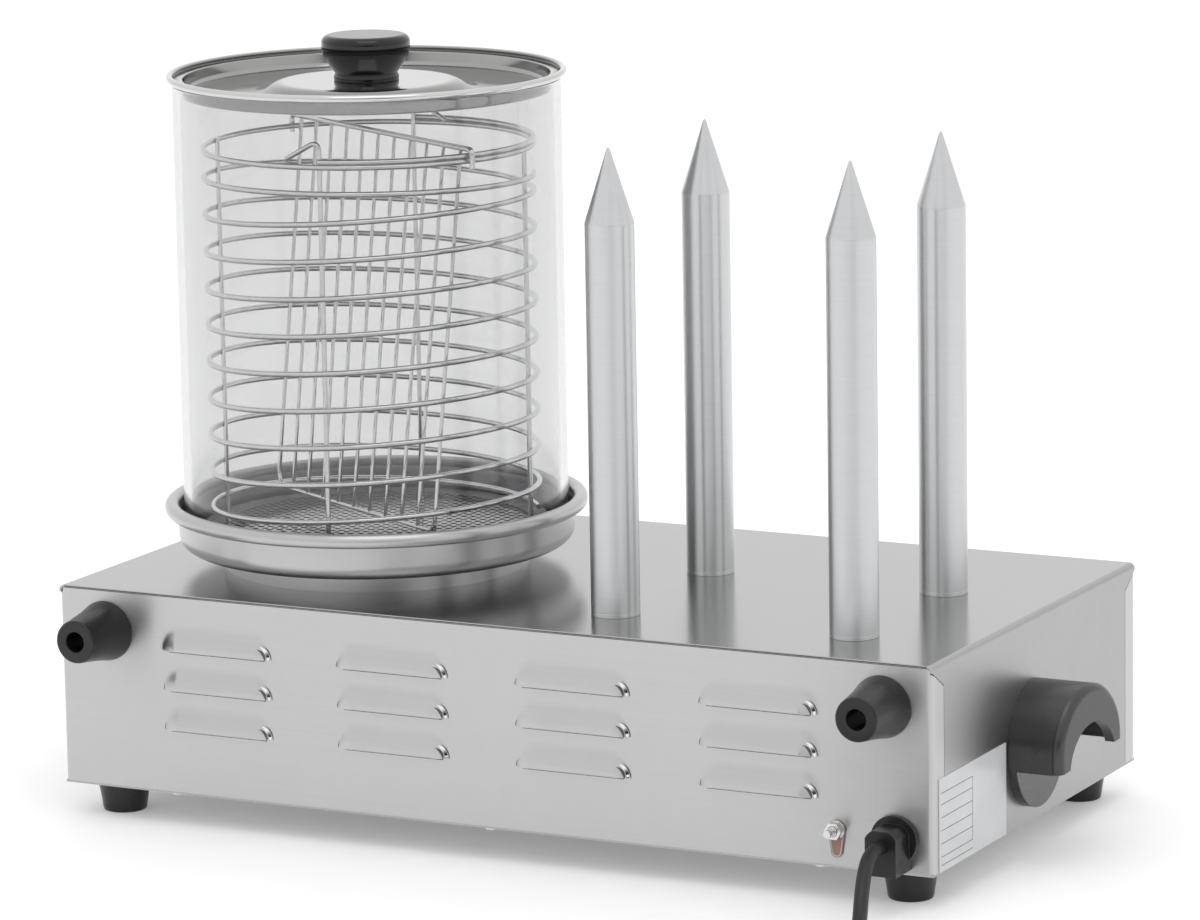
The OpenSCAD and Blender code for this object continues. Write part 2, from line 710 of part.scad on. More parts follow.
module housing_shell() color(STEEL) difference() {
  union() {
    translate([0, 0, floor_z]) rotate([90, 0, 0]) linear_extrude(body_d, center = true)
      fold_section(body_w, body_h - sheet);
  }
  for (s = [0, 1], e = [0, 1]) mirror([s, 0, 0]) mirror([0, e, 0])
    translate([half_w - sheet - cut, 0, 0]) facing_x() linear_extrude(sheet + 2 * cut) flange_corner(seam);
  at_spikes() translate([0, 0, -sheet - cut]) cylinder(h = sheet + 2 * cut, r = tail_r + hole_gap);
  at_studs() translate([0, 0, -sheet - cut]) cylinder(h = sheet + 2 * cut, r = screw_r + hole_gap);
  at_terminals() translate([0, 0, -sheet - cut]) cylinder(h = sheet + 2 * cut, r = element_tube_r + hole_gap);
  at_grip_screws() translate([0, 0, -sheet - cut]) cylinder(h = sheet + 2 * cut, r = screw_r + hole_gap);
}

// End panel at the rear: face, side flanges, a flange under the top sheet and one on the bottom plate,
// and the strips behind its side flanges that the housing's sides lie against
module end_panel() {
  difference() {
    translate([0, half_d - flange_w, floor_z]) linear_extrude(top_z - 2 * sheet - seam - base_z)
      fold_section(body_w, flange_w);
    for (s = [0, 1]) mirror([s, 0, 0]) difference() {
      translate([half_w - bend_r - seam, 0, 0]) facing_x() linear_extrude(bend_r + seam + cut) difference() {
        translate([0, top_z - bend_r - flange_drop - cut - seam])
          square([half_d + cut, bend_r + flange_drop + 2 * cut]);
        flange_corner(0);
      }
      rotate([90, 0, 0]) linear_extrude(body_d + 2 * cut, center = true) under_fold();
    }
  }
  inner_w = half_w - 2 * sheet - seam - bend_r;
  translate([-inner_w, half_d - top_flange_w, top_z - 2 * sheet - seam])
    cube([2 * inner_w, top_flange_w - sheet / 2, sheet]);
  translate([-inner_w, half_d - floor_flange_w, floor_z])
    cube([2 * inner_w, floor_flange_w - sheet / 2, sheet]);
  strip_h = body_h - 2 * sheet - bend_r - flange_drop - 2 * seam;
  for (s = [0, 1]) mirror([s, 0, 0]) translate([half_w - 2 * sheet, half_d - flange_w, floor_z + sheet]) {
    cube([1.5 * sheet, flange_w - bend_r, strip_h]);
    translate([0, -seam_lap, 0]) cube([sheet, seam_lap + bend_r, strip_h]);
  }
}
module floor_flange_holes() {
  at_feet() translate([0, 0, base_z - cut]) cylinder(h = 2 * sheet + 2 * cut, r = screw_r + hole_gap);
  at_covers() translate([0, 0, base_z - cut]) cylinder(h = 2 * sheet + 2 * cut, r = cover_screw_r + hole_gap);
}
module at_louvres() for (i = [0:louvre_cols - 1], j = [0:louvre_rows - 1])
  translate([(i - (louvre_cols - 1) / 2) * louvre_pitch_x, half_d, top_z - louvre_top - j * louvre_pitch_z])
    children();
// Round back of a louvre, made as large as r, over the panel and above its open edge
module louvre(r) intersection() {
  translate([0, -louvre_axis, 0]) {
    facing_x() cylinder(h = louvre_l - 2 * louvre_h, r = r, center = true);
    for (s = [-1, 1]) translate([s * (louvre_l / 2 - louvre_h), 0, 0]) sphere(r);
  }
  translate([-louvre_l, -sheet - (louvre_round - r) * cut, 0])
    cube([2 * louvre_l, 2 * louvre_bulge + sheet + cut, 2 * louvre_h]);
}
module rear_panel() color(STEEL) difference() {
  union() {
    end_panel();
    at_louvres() louvre(louvre_round);
  }
  at_louvres() louvre(louvre_round - sheet);
  floor_flange_holes();
  at_bumpers() translate([0, 0, -sheet - cut]) cylinder(h = sheet + 2 * cut, r = screw_r + hole_gap);
  at_earth(half_d - sheet - cut) cylinder(h = sheet + 2 * cut, r = screw_r + hole_gap);
  at_gland(half_d - sheet - cut) cylinder(h = sheet + 2 * cut, r = gland_neck_r + hole_gap);
}
module front_panel() color(STEEL) difference() {
  mirror([0, 1, 0]) end_panel();
  floor_flange_holes();
  at_knob() translate([0, 0, -sheet - cut]) cylinder(h = sheet + 2 * cut, r = bush_r + hole_gap);
  at_rocker() translate([0, 0, -sheet]) cube([opening_w + 2 * rocker_wall + 2 * hole_gap,
    opening_l + 2 * rocker_wall + 2 * hole_gap, 2 * sheet + 2 * cut], center = true);
  for (x = [lamp_steam_x, lamp_spikes_x])
    at_lamp(x) translate([0, 0, -sheet - cut]) cylinder(h = sheet + 2 * cut, r = lamp_r + hole_gap);
}
module bottom_plate() color(STEEL) difference() {
  translate([-half_w + seam, -half_d + seam, base_z]) cube([body_w - 2 * seam, body_d - 2 * seam, sheet]);
  floor_flange_holes();
  for (i = [0:slot_count - 1], s = [-1, 1])
    translate([(i - (slot_count - 1) / 2) * slot_pitch, s * slot_row, base_z])
      cube([slot_l, slot_w, 2 * sheet + 2 * cut], center = true);
}
module cover_screws() color(POLISHED) at_covers() translate([0, 0, base_z])
  screw(cover_screw_r, cover_head_r, cover_head_h, 2 * sheet + screw_over);

// Tapered rubber piece with a well for its screw, standing on z = 0 towards +Z
module rubber_piece(l, r_base, r_end) color(RUBBER) difference() {
  cylinder(h = l, r1 = r_base, r2 = r_end);
  translate([0, 0, well_floor]) cylinder(h = l, r = well_r);
  translate([0, 0, -cut]) cylinder(h = l, r = screw_r + hole_gap);
}
module foot(x, y) translate([x, y, base_z]) mirror([0, 0, 1]) rubber_piece(foot_h, foot_r_top, foot_r_low);
module foot_screws() color(POLISHED) at_feet() translate([0, 0, base_z - well_floor])
  screw(screw_r, head_r, head_h, well_floor + 2 * sheet + nut_h + screw_over);
module wall_bumper(s) translate([s * bumper_x, half_d, bumper_z]) facing_y()
  rubber_piece(bumper_l, bumper_r_base, bumper_r_end);
module bumper_screws() color(POLISHED) at_bumpers() translate([0, 0, well_floor]) mirror([0, 0, 1])
  screw(screw_r, head_r, head_h, well_floor + sheet + nut_h + screw_over);

// Place of the slanted end of the hood
module at_grip_end() translate([0, 0, grip_reach]) rotate([0, grip_slant, 0]) children();
// Outline of the end with its rounded edge, wider than the hood below that edge
module grip_end_profile() {
  translate([0, -3 * grip_r]) square([2 * grip_r, 3 * grip_r - grip_round]);
  translate([0, -2 * grip_round]) square([grip_r + grip_over - grip_round, 2 * grip_round]);
  translate([grip_r + grip_over - grip_round, -grip_round]) circle(grip_round);
}
// Handle on the right side: a round base with a hood that is open below, where the fingers go
module handle() color(PLASTIC) translate([half_w, grip_y, grip_z]) facing_x() rotate([0, 0, -grip_turn]) difference() {
  grip_box = 2 * grip_r + 2 * cut;
  intersection() {
    cylinder(h = 2 * grip_reach, r = grip_r);
    at_grip_end() rotate_extrude() grip_end_profile();
    union() {
      translate([-grip_box / 2, -grip_box / 2, 0]) cube([grip_box, grip_box, grip_base]);
      translate([-grip_box / 2, -grip_ledge, 0]) cube([grip_box, grip_box, 2 * grip_reach]);
    }
  }
  intersection() {
    translate([0, 0, grip_base]) cylinder(h = 2 * grip_reach, r = grip_r - grip_wall);
    at_grip_end() translate([-grip_box, -grip_box, -2 * grip_box - grip_cap]) cube(2 * grip_box);
  }
  translate([0, arch_h - grip_ledge - arch_r, grip_base]) cylinder(h = 2 * grip_reach, r = arch_r);
  for (s = [-1, 1]) translate([s * grip_screw_y, grip_screw_z, -cut])
    cylinder(h = grip_base + 2 * cut, r = screw_r + hole_gap);
}
module handle_right() handle();
module handle_left() mirror([1, 0, 0]) handle();
module handle_screws() color(POLISHED) at_grip_screws() translate([0, 0, grip_base]) mirror([0, 0, 1])
  screw(screw_r, head_r, head_h, grip_base + sheet + nut_h + screw_over);
module inner_nuts() color(POLISHED) {
  at_feet() translate([0, 0, floor_z + sheet]) nut(nut_w, nut_h, screw_r + hole_gap / 2);
  at_bumpers() translate([0, 0, -sheet - nut_h]) nut(nut_w, nut_h, screw_r + hole_gap / 2);
  at_grip_screws() translate([0, 0, -sheet - nut_h]) nut(nut_w, nut_h, screw_r + hole_gap / 2);
}
module rating_plate() color("#c9d0d6")
  translate([-half_w - plate_t, plate_y, base_z + plate_low]) cube([plate_t, plate_l, plate_h]);

module earth_stud() color(POLISHED) at_earth(half_d - sheet - nut_h) {
  shank = sheet + 2 * nut_h + 2 * tag_t + stud_step;
  screw(screw_r, head_r, head_h, shank);
  translate([0, 0, shank]) cylinder(h = stud_free, r = stud_end_r);
}
module earth_tag() color("#9c7f77") at_earth(half_d) linear_extrude(tag_t) difference() {
  union() {
    circle(tag_r);
    translate([0, tag_drop]) circle(tag_end_r);
    polygon([[-tag_r, 0], [tag_r, 0], [tag_end_r, tag_drop], [-tag_end_r, tag_drop]]);
  }
  circle(screw_r + hole_gap);
}
module earth_washer() color(POLISHED) at_earth(half_d + tag_t) linear_extrude(tag_t) difference() {
  circle(tag_r);
  circle(screw_r + hole_gap);
}
module earth_nuts() color(POLISHED) {
  at_earth(half_d + 2 * tag_t) nut(nut_w, nut_h, screw_r + hole_gap / 2);
  at_earth(half_d - sheet - nut_h) nut(nut_w, nut_h, screw_r + hole_gap / 2);
}
// Strain relief: a round flange, a block that holds the cord and a threaded neck through the panel
module cord_gland() color(RUBBER) at_gland(half_d) difference() {
  union() {
    cylinder(h = gland_t, r = gland_r);
    linear_extrude(gland_l) {
      translate([-gland_w / 2, 0]) square([gland_w, gland_down]);
      intersection() {
        translate([-gland_w / 2, -gland_up]) square([gland_w, gland_up + cut]);
        circle(norm([gland_w / 2, gland_up / 2]));
      }
    }
    translate([0, 0, -sheet - gland_nut_h]) cylinder(h = gland_nut_h + sheet + cut, r = gland_neck_r);
  }
  translate([0, 0, -sheet - gland_nut_h - cut])
    cylinder(h = gland_l + sheet + gland_nut_h - cord_d + cut, r = cord_r + hole_gap);
}
module gland_nut() color(RUBBER) at_gland(half_d - sheet - gland_nut_h)
  nut(gland_nut_w, gland_nut_h, gland_neck_r + hole_gap / 2);

// Hollow aluminium spike on the top sheet, with a threaded tail below it
module toasting_spike(i) color(ALUMINIUM) translate([spike_xy[i][0], spike_xy[i][1], top_z]) difference() {
  union() {
    cylinder(h = spike_l, r = spike_r);
    translate([0, 0, spike_l]) cylinder(h = spike_tip_l, r1 = spike_r, r2 = spike_tip_r);
    translate([0, 0, -sheet - tail_l]) cylinder(h = tail_l + sheet + cut, r = tail_r);
  }
  translate([0, 0, -sheet - tail_l - cut])
    cylinder(h = sheet + tail_l + cut + cartridge_l + cartridge_gap, r = spike_bore_r);
}
module spike_nuts() color(POLISHED) at_spikes() translate([0, 0, -sheet - tail_nut_h])
  nut(tail_nut_w, tail_nut_h, tail_r + hole_gap / 2);
module spike_heaters() color(BRASS) at_spikes() translate([0, 0, -sheet - tail_l])
  cylinder(h = sheet + tail_l + cartridge_l, r = cartridge_r);

// Hot plate with a groove for the heating ring and studs through the top sheet
groove_r = element_tube_r + element_gap;
module heater_plate() color(ALUMINIUM) {
  stack(0) rotate_extrude() difference() {
    square([hot_r, hot_h]);
    translate([element_r - groove_r, -cut]) square([2 * groove_r, 2 * groove_r + cut]);
  }
  at_studs() translate([0, 0, -sheet - nut_h - screw_over])
    cylinder(h = sheet + nut_h + screw_over + cut, r = screw_r);
}
module heater_element() color("#8b8d8f") {
  stack(groove_r) rotate(element_open / 2 - 90) rotate_extrude(angle = 360 - element_open)
    translate([element_r, 0]) circle(element_tube_r);
  at_terminals() translate([0, 0, -sheet - terminal_l])
    cylinder(h = sheet + terminal_l + groove_r + element_tube_r * 0.9, r = element_tube_r);
}
module heater_nuts() color(POLISHED) at_studs() translate([0, 0, -sheet - nut_h])
  nut(nut_w, nut_h, screw_r + hole_gap / 2);

// Round pieces of the stack, turned about its axis
module water_pan() color(ALUMINIUM) stack(pan_z) rotate_extrude() {
  square([pan_r - pan_round, pan_t]);
  translate([pan_r - pan_round, pan_round]) intersection() {
    difference() {
      circle(pan_round);
      circle(pan_round - pan_t);
    }
    translate([0, -pan_round]) square(pan_round);
  }
  translate([pan_r - pan_t, pan_round]) square([pan_t, pan_h - pan_round]);
  translate([pan_r + rim_over, pan_h]) circle(rim_r);
}
sieve_rows = floor(sieve_area_r / sieve_pitch) + 1;
sieve_holes = [for (i = [-sieve_rows:sieve_rows], j = [-sieve_rows:sieve_rows])
  let (x = (i + (j % 2 == 0 ? 0 : 0.5)) * sieve_pitch, y = j * sieve_pitch * sin(60))
  if (norm([x, y]) < sieve_area_r) [x, y]];
module steam_plate() color(POLISHED) stack(sieve_z) {
  translate([0, 0, sieve_h - sieve_t]) linear_extrude(sieve_t) difference() {
    circle(sieve_r);
    for (p = sieve_holes) translate(p) circle(sieve_hole_r);
  }
  linear_extrude(sieve_h) difference() {
    circle(sieve_r);
    circle(sieve_r - sieve_t);
  }
}
module glass_cylinder() color("#e4ecee", 0.35) stack(glass_z) linear_extrude(glass_h) difference() {
  circle(glass_r);
  circle(glass_in_r);
}

// Half a turn of the spiral between two heights, on the rear side or on the front side
module half_turn(start, end, rear) {
  fall = rear ? start - end : end - start;
  translate([0, 0, (start + end) / 2]) rotate([0, atan2(fall, 2 * ring_r), 0]) rotate([turn_lean, 0, 0])
    rotate((rear ? 0 : 180) + turn_open) rotate_extrude(angle = 180 - 2 * turn_open)
      translate([norm([ring_r, fall / 2]), 0]) circle(ring_wire);
}
// Basket: a spiral wire, a closed top ring, four uprights inside, two with lifting hooks, and a half ring on top
module basket_spiral() color(POLISHED) stack(0) rotate(turn_split)
  for (i = [0:len(turn_ends) - 2]) half_turn(turn_ends[i], turn_ends[i + 1], i % 2 == 0);
module basket_top_ring() color(POLISHED) stack(ring_top) rotate_extrude()
  translate([ring_r, 0]) circle(ring_wire);
module basket_uprights() color(POLISHED) stack(0) for (i = [0:3]) rotate(upright_turn + 90 * i) {
  hooked = i % 2 == 0;
  tip = ring_top + (hooked ? hook_rise - hook_bend : ring_wire);
  translate([upright_r, 0, upright_foot]) cylinder(h = tip - upright_foot, r = upright_wire);
  if (hooked) translate([upright_r, -hook_bend, tip]) facing_x()
    rotate_extrude(angle = hook_turn) translate([hook_bend, 0]) circle(upright_wire);
}
module basket_half_ring() color(POLISHED) stack(half_ring_z) rotate(upright_turn)
  rotate_extrude(angle = 180) translate([ring_r, 0]) circle(ring_wire);

// Removable divider: a frame wire that hooks over the top ring, and thin wires down to a lower wire
module in_divider() stack(0) rotate(divider_turn) children();
module divider_frame() color(POLISHED) in_divider() {
  ends = [for (s = [-1, 1]) [s * divider_end, divider_offset, divider_z]];
  rod(ends[0], ends[1], divider_wire);
  for (e = ends) {
    translate(e) sphere(divider_wire);
    translate(e - [0, 0, divider_hook]) cylinder(h = divider_hook, r = divider_wire);
  }
}
module divider_wires() color(POLISHED) in_divider() {
  low_y = divider_offset - divider_lean;
  for (i = [0:divider_count - 1]) {
    x = i * divider_pitch - divider_half;
    rod([x, low_y, divider_low], [x, divider_offset, divider_z], divider_thin);
  }
  low_half = divider_half + 2 * divider_thin;
  rod([-low_half, low_y, divider_low], [low_half, low_y, divider_low], divider_thin);
}

// Dished lid with a rolled rim, a skirt inside the glass and a raised middle
skirt_r = glass_in_r - lid_gap;
module lid_shell() color(POLISHED) stack(0) rotate_extrude() {
  difference() {
    polygon([[screw_r + hole_gap, dome_z - lid_t], [dome_top_r - lid_t, dome_z - lid_t],
      [dome_r - lid_t, dish_z],
      [skirt_r - lid_t, dish_z], [skirt_r, dish_z + lid_t], [skirt_r, lid_z], [lid_r - lid_bead, lid_z],
      [lid_r - lid_bead, lid_z + lid_t], [skirt_r - lid_t, lid_z + lid_t],
      [skirt_r - 2 * lid_t, dish_z + lid_t],
      [dome_r, dish_z + lid_t], [dome_top_r, dome_z], [screw_r + hole_gap, dome_z]]);
  }
  translate([lid_r - lid_bead, lid_z + lid_bead]) circle(lid_bead);
}
// Outline of the lid's knob: a collar, a hollow neck that flares out, and a flat top with a round edge
knob_steps = 10;
knob_flare = [for (i = [0:knob_steps]) let (s = i / knob_steps)
  [knob_neck_r + (knob_r - knob_neck_r) * sin(90 * s), knob_neck_h + knob_flare_h * s]];
module lid_knob() color(GLOSS) stack(dome_z) rotate_extrude() difference() {
  polygon(concat([[0, 0], [knob_neck_r + knob_collar, 0], [knob_neck_r + knob_collar, knob_collar_h]],
    knob_flare, [for (a = [0:15:90])
      [knob_r + knob_edge * (cos(a) - 1), knob_h + knob_edge * (sin(a) - 1)]], [[0, knob_h]]));
  translate([-cut, -cut]) square([screw_r + hole_gap / 2 + cut, knob_bore_h + cut]);
}
module lid_screw() color(POLISHED) stack(dome_z - lid_t)
  screw(screw_r, head_r, head_h, lid_t + knob_bore_h - hole_gap);

// Thermostat behind the front panel, its shaft and its knob
module thermostat_body() color("#d8d4c8") at_knob() difference() {
  union() {
    translate([-thermostat_w / 2, -thermostat_w / 2, -sheet - thermostat_d])
      cube([thermostat_w, thermostat_w, thermostat_d]);
    translate([0, 0, -sheet - cut]) cylinder(h = sheet + cut + dial_t, r = bush_r);
  }
  translate([0, 0, -sheet - shaft_in]) cylinder(h = thermostat_d, r = shaft_r + shaft_gap);
}
module control_shaft() color(BRASS) at_knob() translate([0, 0, -sheet - shaft_in + rest_gap])
  cylinder(h = sheet + shaft_in - rest_gap + dial_t + dial_gap + shaft_in_knob, r = shaft_r);
module control_knob() color(GLOSS) at_knob() translate([0, 0, dial_t + dial_gap]) difference() {
  union() {
    cylinder(h = dial_skirt_h, r1 = dial_knob_r, r2 = dial_knob_r - dial_taper);
    cylinder(h = dial_barrel_h, r = dial_barrel_r);
    intersection() {
      cylinder(h = dial_knob_h, r = dial_knob_r - dial_taper);
      translate([-grip_bar_w / 2, -dial_knob_r, 0]) cube([grip_bar_w, 2 * dial_knob_r, dial_knob_h]);
    }
  }
  translate([0, 0, -cut]) cylinder(h = shaft_in_knob + cut, r = shaft_r);
}
module dial_plate() color(POLISHED) at_knob() linear_extrude(dial_t) difference() {
  circle(dial_r);
  circle(bush_r + hole_gap);
}

// Rocker switch: a frame with a pin, and the button that tips on it
module rocker_frame() color(GLOSS) at_rocker() {
  difference() {
    union() {
      translate([-opening_w / 2 - rocker_wall, -opening_l / 2 - rocker_wall, -rocker_depth])
        cube([opening_w + 2 * rocker_wall, opening_l + 2 * rocker_wall, rocker_depth + rocker_rim_h]);
      translate([-opening_w / 2 - rocker_rim, -opening_l / 2 - rocker_rim, 0])
        cube([opening_w + 2 * rocker_rim, opening_l + 2 * rocker_rim, rocker_rim_h]);
    }
    translate([-opening_w / 2, -opening_l / 2, -rocker_well])
      cube([opening_w, opening_l, rocker_depth + rocker_rim_h]);
  }
  facing_pin() cylinder(h = opening_w + rocker_wall, r = pin_r, center = true);
}
module facing_pin() rotate([0, 90, 0]) children();
module rocker_button() color("#a8261f") at_rocker() rotate([rocker_lean, 0, 0]) difference() {
  translate([-rocker_w / 2, 0, 0]) rotate([90, 0, 90]) linear_extrude(rocker_w)
    polygon([[-rocker_l / 2, rocker_end_h], [0, rocker_h], [rocker_l / 2, rocker_end_h], [rocker_l / 2, 0],
      [rocker_l / 4, -rocker_low], [-rocker_l / 4, -rocker_low], [-rocker_l / 2, 0]]);
  facing_pin() cylinder(h = rocker_w + 2 * cut, r = pin_r + pin_gap, center = true);
}
module pilot_lamp(x, c) color(c) at_lamp(x) {
  translate([0, 0, -sheet - lamp_depth]) cylinder(h = sheet + lamp_depth + lamp_rim, r = lamp_r);
  cylinder(h = lamp_rim, r = lamp_r + lamp_rim);
  intersection() {
    translate([0, 0, lamp_rim + lamp_dome - lamp_round]) sphere(lamp_round);
    translate([0, 0, lamp_rim - cut / 2]) cylinder(h = lamp_r, r = lamp_r - cut / 4);
  }
}
block_y = half_d - floor_flange_w - block_rear - block_w;
module terminal_block() color("#e3ddca") translate([block_side - half_w, block_y, floor_z])
  difference() {
    cube([block_l, block_w, block_h]);
    for (i = [0:block_count - 1], s = [-1, 1])
      translate([(i + 0.5) * block_l / block_count, block_w / 2 + s * block_w / 5, block_h - block_well])
        cylinder(h = block_h, r = screw_r);
  }

// Mains cord: the free stretch, the coil, its tie, the stretch to the plug, and the plug
module cord_lead() color(RUBBER) tube(lead_route, cord_r, cord_sides);
module cord_coil() color(RUBBER) tube(coil_route, cord_r, coil_sides);
module coil_tie() color(PLASTIC) {
  inner = [coil_in_r - coil_pitch / 2 - cord_r, coil_r + cord_r + tie_gap];
  low = coil_z - cord_r - tie_gap;
  high = coil_z + coil_layer + cord_r + tie_gap;
  translate([coil_x, coil_y + tie_w / 2, 0]) rotate([90, 0, 0]) linear_extrude(tie_w) difference() {
    hole = [inner[1] - inner[0], high - low];
    translate([inner[0] - tie_t, low - tie_t]) square(hole + [2 * tie_t, 2 * tie_t]);
    translate([inner[0], low]) square(hole);
  }
}
module cord_tail() color(RUBBER) tube(tail_route, cord_r, cord_sides);
module plug_body() color(RUBBER) translate([plug_x, plug_y, plug_z]) rotate([0, 90, 0]) difference() {
  rotate_extrude() polygon([[0, 0], [cord_r + plug_neck_t, 0], [cord_r + plug_neck_t_in, plug_neck_l],
    [plug_r, plug_neck_l + plug_shoulder_l], [plug_r, plug_l], [0, plug_l]]);
  for (s = [-1, 1]) translate([0, s * plug_pin_pitch / 2, plug_l - plug_pin_in])
    cylinder(h = plug_l, r = plug_pin_r);
}
module plug_pins() color(BRASS) translate([plug_x, plug_y, plug_z]) rotate([0, 90, 0])
  for (s = [-1, 1]) translate([0, s * plug_pin_pitch / 2, plug_l - plug_pin_in])
    cylinder(h = plug_pin_l + plug_pin_in, r = plug_pin_r);

housing_shell();
rear_panel();
front_panel();
bottom_plate();
cover_screws();
foot(-foot_x, foot_y);  // foot_rear_left
foot(foot_x, foot_y);  // foot_rear_right
foot(-foot_x, -foot_y);  // foot_front_left
foot(foot_x, -foot_y);  // foot_front_right
foot_screws();
wall_bumper(-1);  // wall_bumper_left
wall_bumper(1);  // wall_bumper_right
bumper_screws();
handle_left();
handle_right();
handle_screws();
inner_nuts();
rating_plate();
earth_stud();
earth_tag();
earth_washer();
earth_nuts();
cord_gland();
gland_nut();
toasting_spike(0);  // toasting_spike_1
toasting_spike(1);  // toasting_spike_2
toasting_spike(2);  // toasting_spike_3
toasting_spike(3);  // toasting_spike_4
spike_nuts();
spike_heaters();
heater_plate();
heater_element();
heater_nuts();
water_pan();
steam_plate();
glass_cylinder();
basket_spiral();
basket_top_ring();
basket_uprights();
basket_half_ring();
divider_frame();
divider_wires();
lid_shell();
lid_knob();
lid_screw();
thermostat_body();
control_shaft();
control_knob();
dial_plate();
rocker_frame();
rocker_button();
pilot_lamp(lamp_steam_x, "#d98a1f");  // pilot_lamp_steam
pilot_lamp(lamp_spikes_x, "#d98a1f");  // pilot_lamp_spikes
terminal_block();
cord_lead();
cord_coil();
coil_tie();
cord_tail();
plug_body();
plug_pins();
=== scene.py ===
# %% [markdown]
# # A hot dog maker, dressed for the camera
#
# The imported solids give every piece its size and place. This lesson gives them their looks: wires with true bends,
# turned and rolled metal, clear glass, rubber, brushed sheet, a cord with its coil, and a plain white studio.
# Lengths are written in millimetres, as on a drawing, and `MM` turns them into metres.

# %% Frame and constants
import json
from math import cos, pi, radians, sin

import bmesh
import bpy
import numpy as np
from mathutils import Matrix, Vector


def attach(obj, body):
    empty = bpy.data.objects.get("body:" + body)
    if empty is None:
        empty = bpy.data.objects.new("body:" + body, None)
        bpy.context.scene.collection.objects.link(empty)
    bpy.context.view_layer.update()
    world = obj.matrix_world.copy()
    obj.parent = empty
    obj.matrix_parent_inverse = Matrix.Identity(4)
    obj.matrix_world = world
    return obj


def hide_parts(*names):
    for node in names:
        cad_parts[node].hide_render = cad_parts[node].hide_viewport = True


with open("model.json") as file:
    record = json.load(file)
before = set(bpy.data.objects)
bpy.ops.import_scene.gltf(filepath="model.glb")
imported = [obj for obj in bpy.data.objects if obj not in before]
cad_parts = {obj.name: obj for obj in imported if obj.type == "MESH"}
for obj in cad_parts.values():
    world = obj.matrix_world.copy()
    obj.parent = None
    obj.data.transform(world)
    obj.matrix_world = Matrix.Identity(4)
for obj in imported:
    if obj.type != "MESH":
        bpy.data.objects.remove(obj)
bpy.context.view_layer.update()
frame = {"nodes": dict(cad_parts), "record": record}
nodes = frame["nodes"]
scene = bpy.context.scene

MM = 0.001
TOP = 121.5  # the top sheet above the table
STACK = np.array([121.0, 14.3])  # the axis of the pan, the glass and the lid
HALF_W, HALF_D = 245.0, 129.0  # half the housing's width and depth

# %% [markdown]
# ## The camera
#
# The picture looks at the machine's rear left corner through a long lens, from a little above. A camera could be
# aimed with a Track To constraint, but roll and exact framing are easier to set as a matrix. Azimuth and elevation
# point back to the camera, roll turns the picture, and `OFFSET` leads from the middle of the top sheet to the camera,
# along its own right, up and back.

# %% Camera
AZIMUTH, ELEVATION, ROLL = radians(207.044), radians(11.006), radians(-0.984)
OFFSET = (1.264, 58.344, 3117.01)
LENS, SENSOR = 181.67, 36  # focal length and width of the picture


def added(name, data):
    """An object of the scene that holds the given data."""
    obj = bpy.data.objects.new(name, data)
    scene.collection.objects.link(obj)
    return obj


def camera_axes(azimuth, elevation, roll):
    """Right, up and back of a camera: back points from the object to the camera, right is level before the roll."""
    back = Vector((sin(azimuth) * cos(elevation), -cos(azimuth) * cos(elevation), sin(elevation)))
    right = Vector((0, 0, 1)).cross(back).normalized()
    up = back.cross(right)
    return cos(roll) * right + sin(roll) * up, cos(roll) * up - sin(roll) * right, back


right, up, back = camera_axes(AZIMUTH, ELEVATION, ROLL)
eye = (OFFSET[0] * right + OFFSET[1] * up + OFFSET[2] * back + Vector((0, 0, TOP))) * MM
camera_data = bpy.data.cameras.new("camera")
camera_data.sensor_fit = "HORIZONTAL"
camera_data.sensor_width, camera_data.lens = SENSOR, LENS
camera_data.clip_end = 100  # metres
camera = added("camera", camera_data)
camera.matrix_world = Matrix.Translation(eye) @ Matrix((right, up, back)).transposed().to_4x4()
scene.camera = camera
print("camera at", [round(v, 3) for v in eye])

# %% [markdown]
# ## Shapes from formulas
#
# Nearly every piece is turned, bent from wire or pressed from sheet. Each could be modelled by hand with Spin and
# curves. Here a shape is a grid of points from a formula, so that a size can be changed in one place. `grid` joins the
# points with quads, and `piece` makes the object, merges its seams and turns its faces outwards.

# %% Grids and pieces
SEAM = 1e-7  # corners of a formula that are closer, in metres, become one


def grid(rows, columns, loop_rows=False, loop_columns=False):
    """Quads of a grid of points that is stored row after row. A looped side joins its last points to its first."""
    i, j = np.meshgrid(np.arange(rows - (not loop_rows)), np.arange(columns - (not loop_columns)), indexing="ij")
    low, high = i * columns, (i + 1) % rows * columns
    return np.stack([low + j, low + (j + 1) % columns, high + (j + 1) % columns, high + j], axis=-1).reshape(-1, 4)


def smooth(mesh, sharp):
    """Smooth faces. Edges steeper than `sharp` degrees stay sharp."""
    mesh.polygons.foreach_set("use_smooth", np.ones(len(mesh.polygons), bool))
    mesh.set_sharp_from_angle(angle=radians(sharp))


def finish_piece(name, work, body, sharp):
    """A smooth object from a bmesh, which rides on a body."""
    mesh = bpy.data.meshes.new(name)
    work.to_mesh(mesh)
    work.free()
    smooth(mesh, sharp)
    obj = added(name, mesh)
    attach(obj, body)
    obj.modifiers.new("even_normals", "WEIGHTED_NORMAL").keep_sharp = True
    return obj


def piece(name, points, faces, body, sharp=40):
    """An object from points in millimetres and lists of corner numbers."""
    mesh = bpy.data.meshes.new(name + "_raw")
    mesh.from_pydata((points * MM).tolist(), [], faces)
    work = bmesh.new()
    work.from_mesh(mesh)
    bpy.data.meshes.remove(mesh)
    bmesh.ops.remove_doubles(work, verts=work.verts, dist=SEAM)
    bmesh.ops.recalc_face_normals(work, faces=work.faces)
    return finish_piece(name, work, body, sharp)


def tell(*pieces):
    """Prints how many faces each piece has."""
    print(", ".join(f"{p.name} {len(p.data.polygons)} faces" for p in pieces))


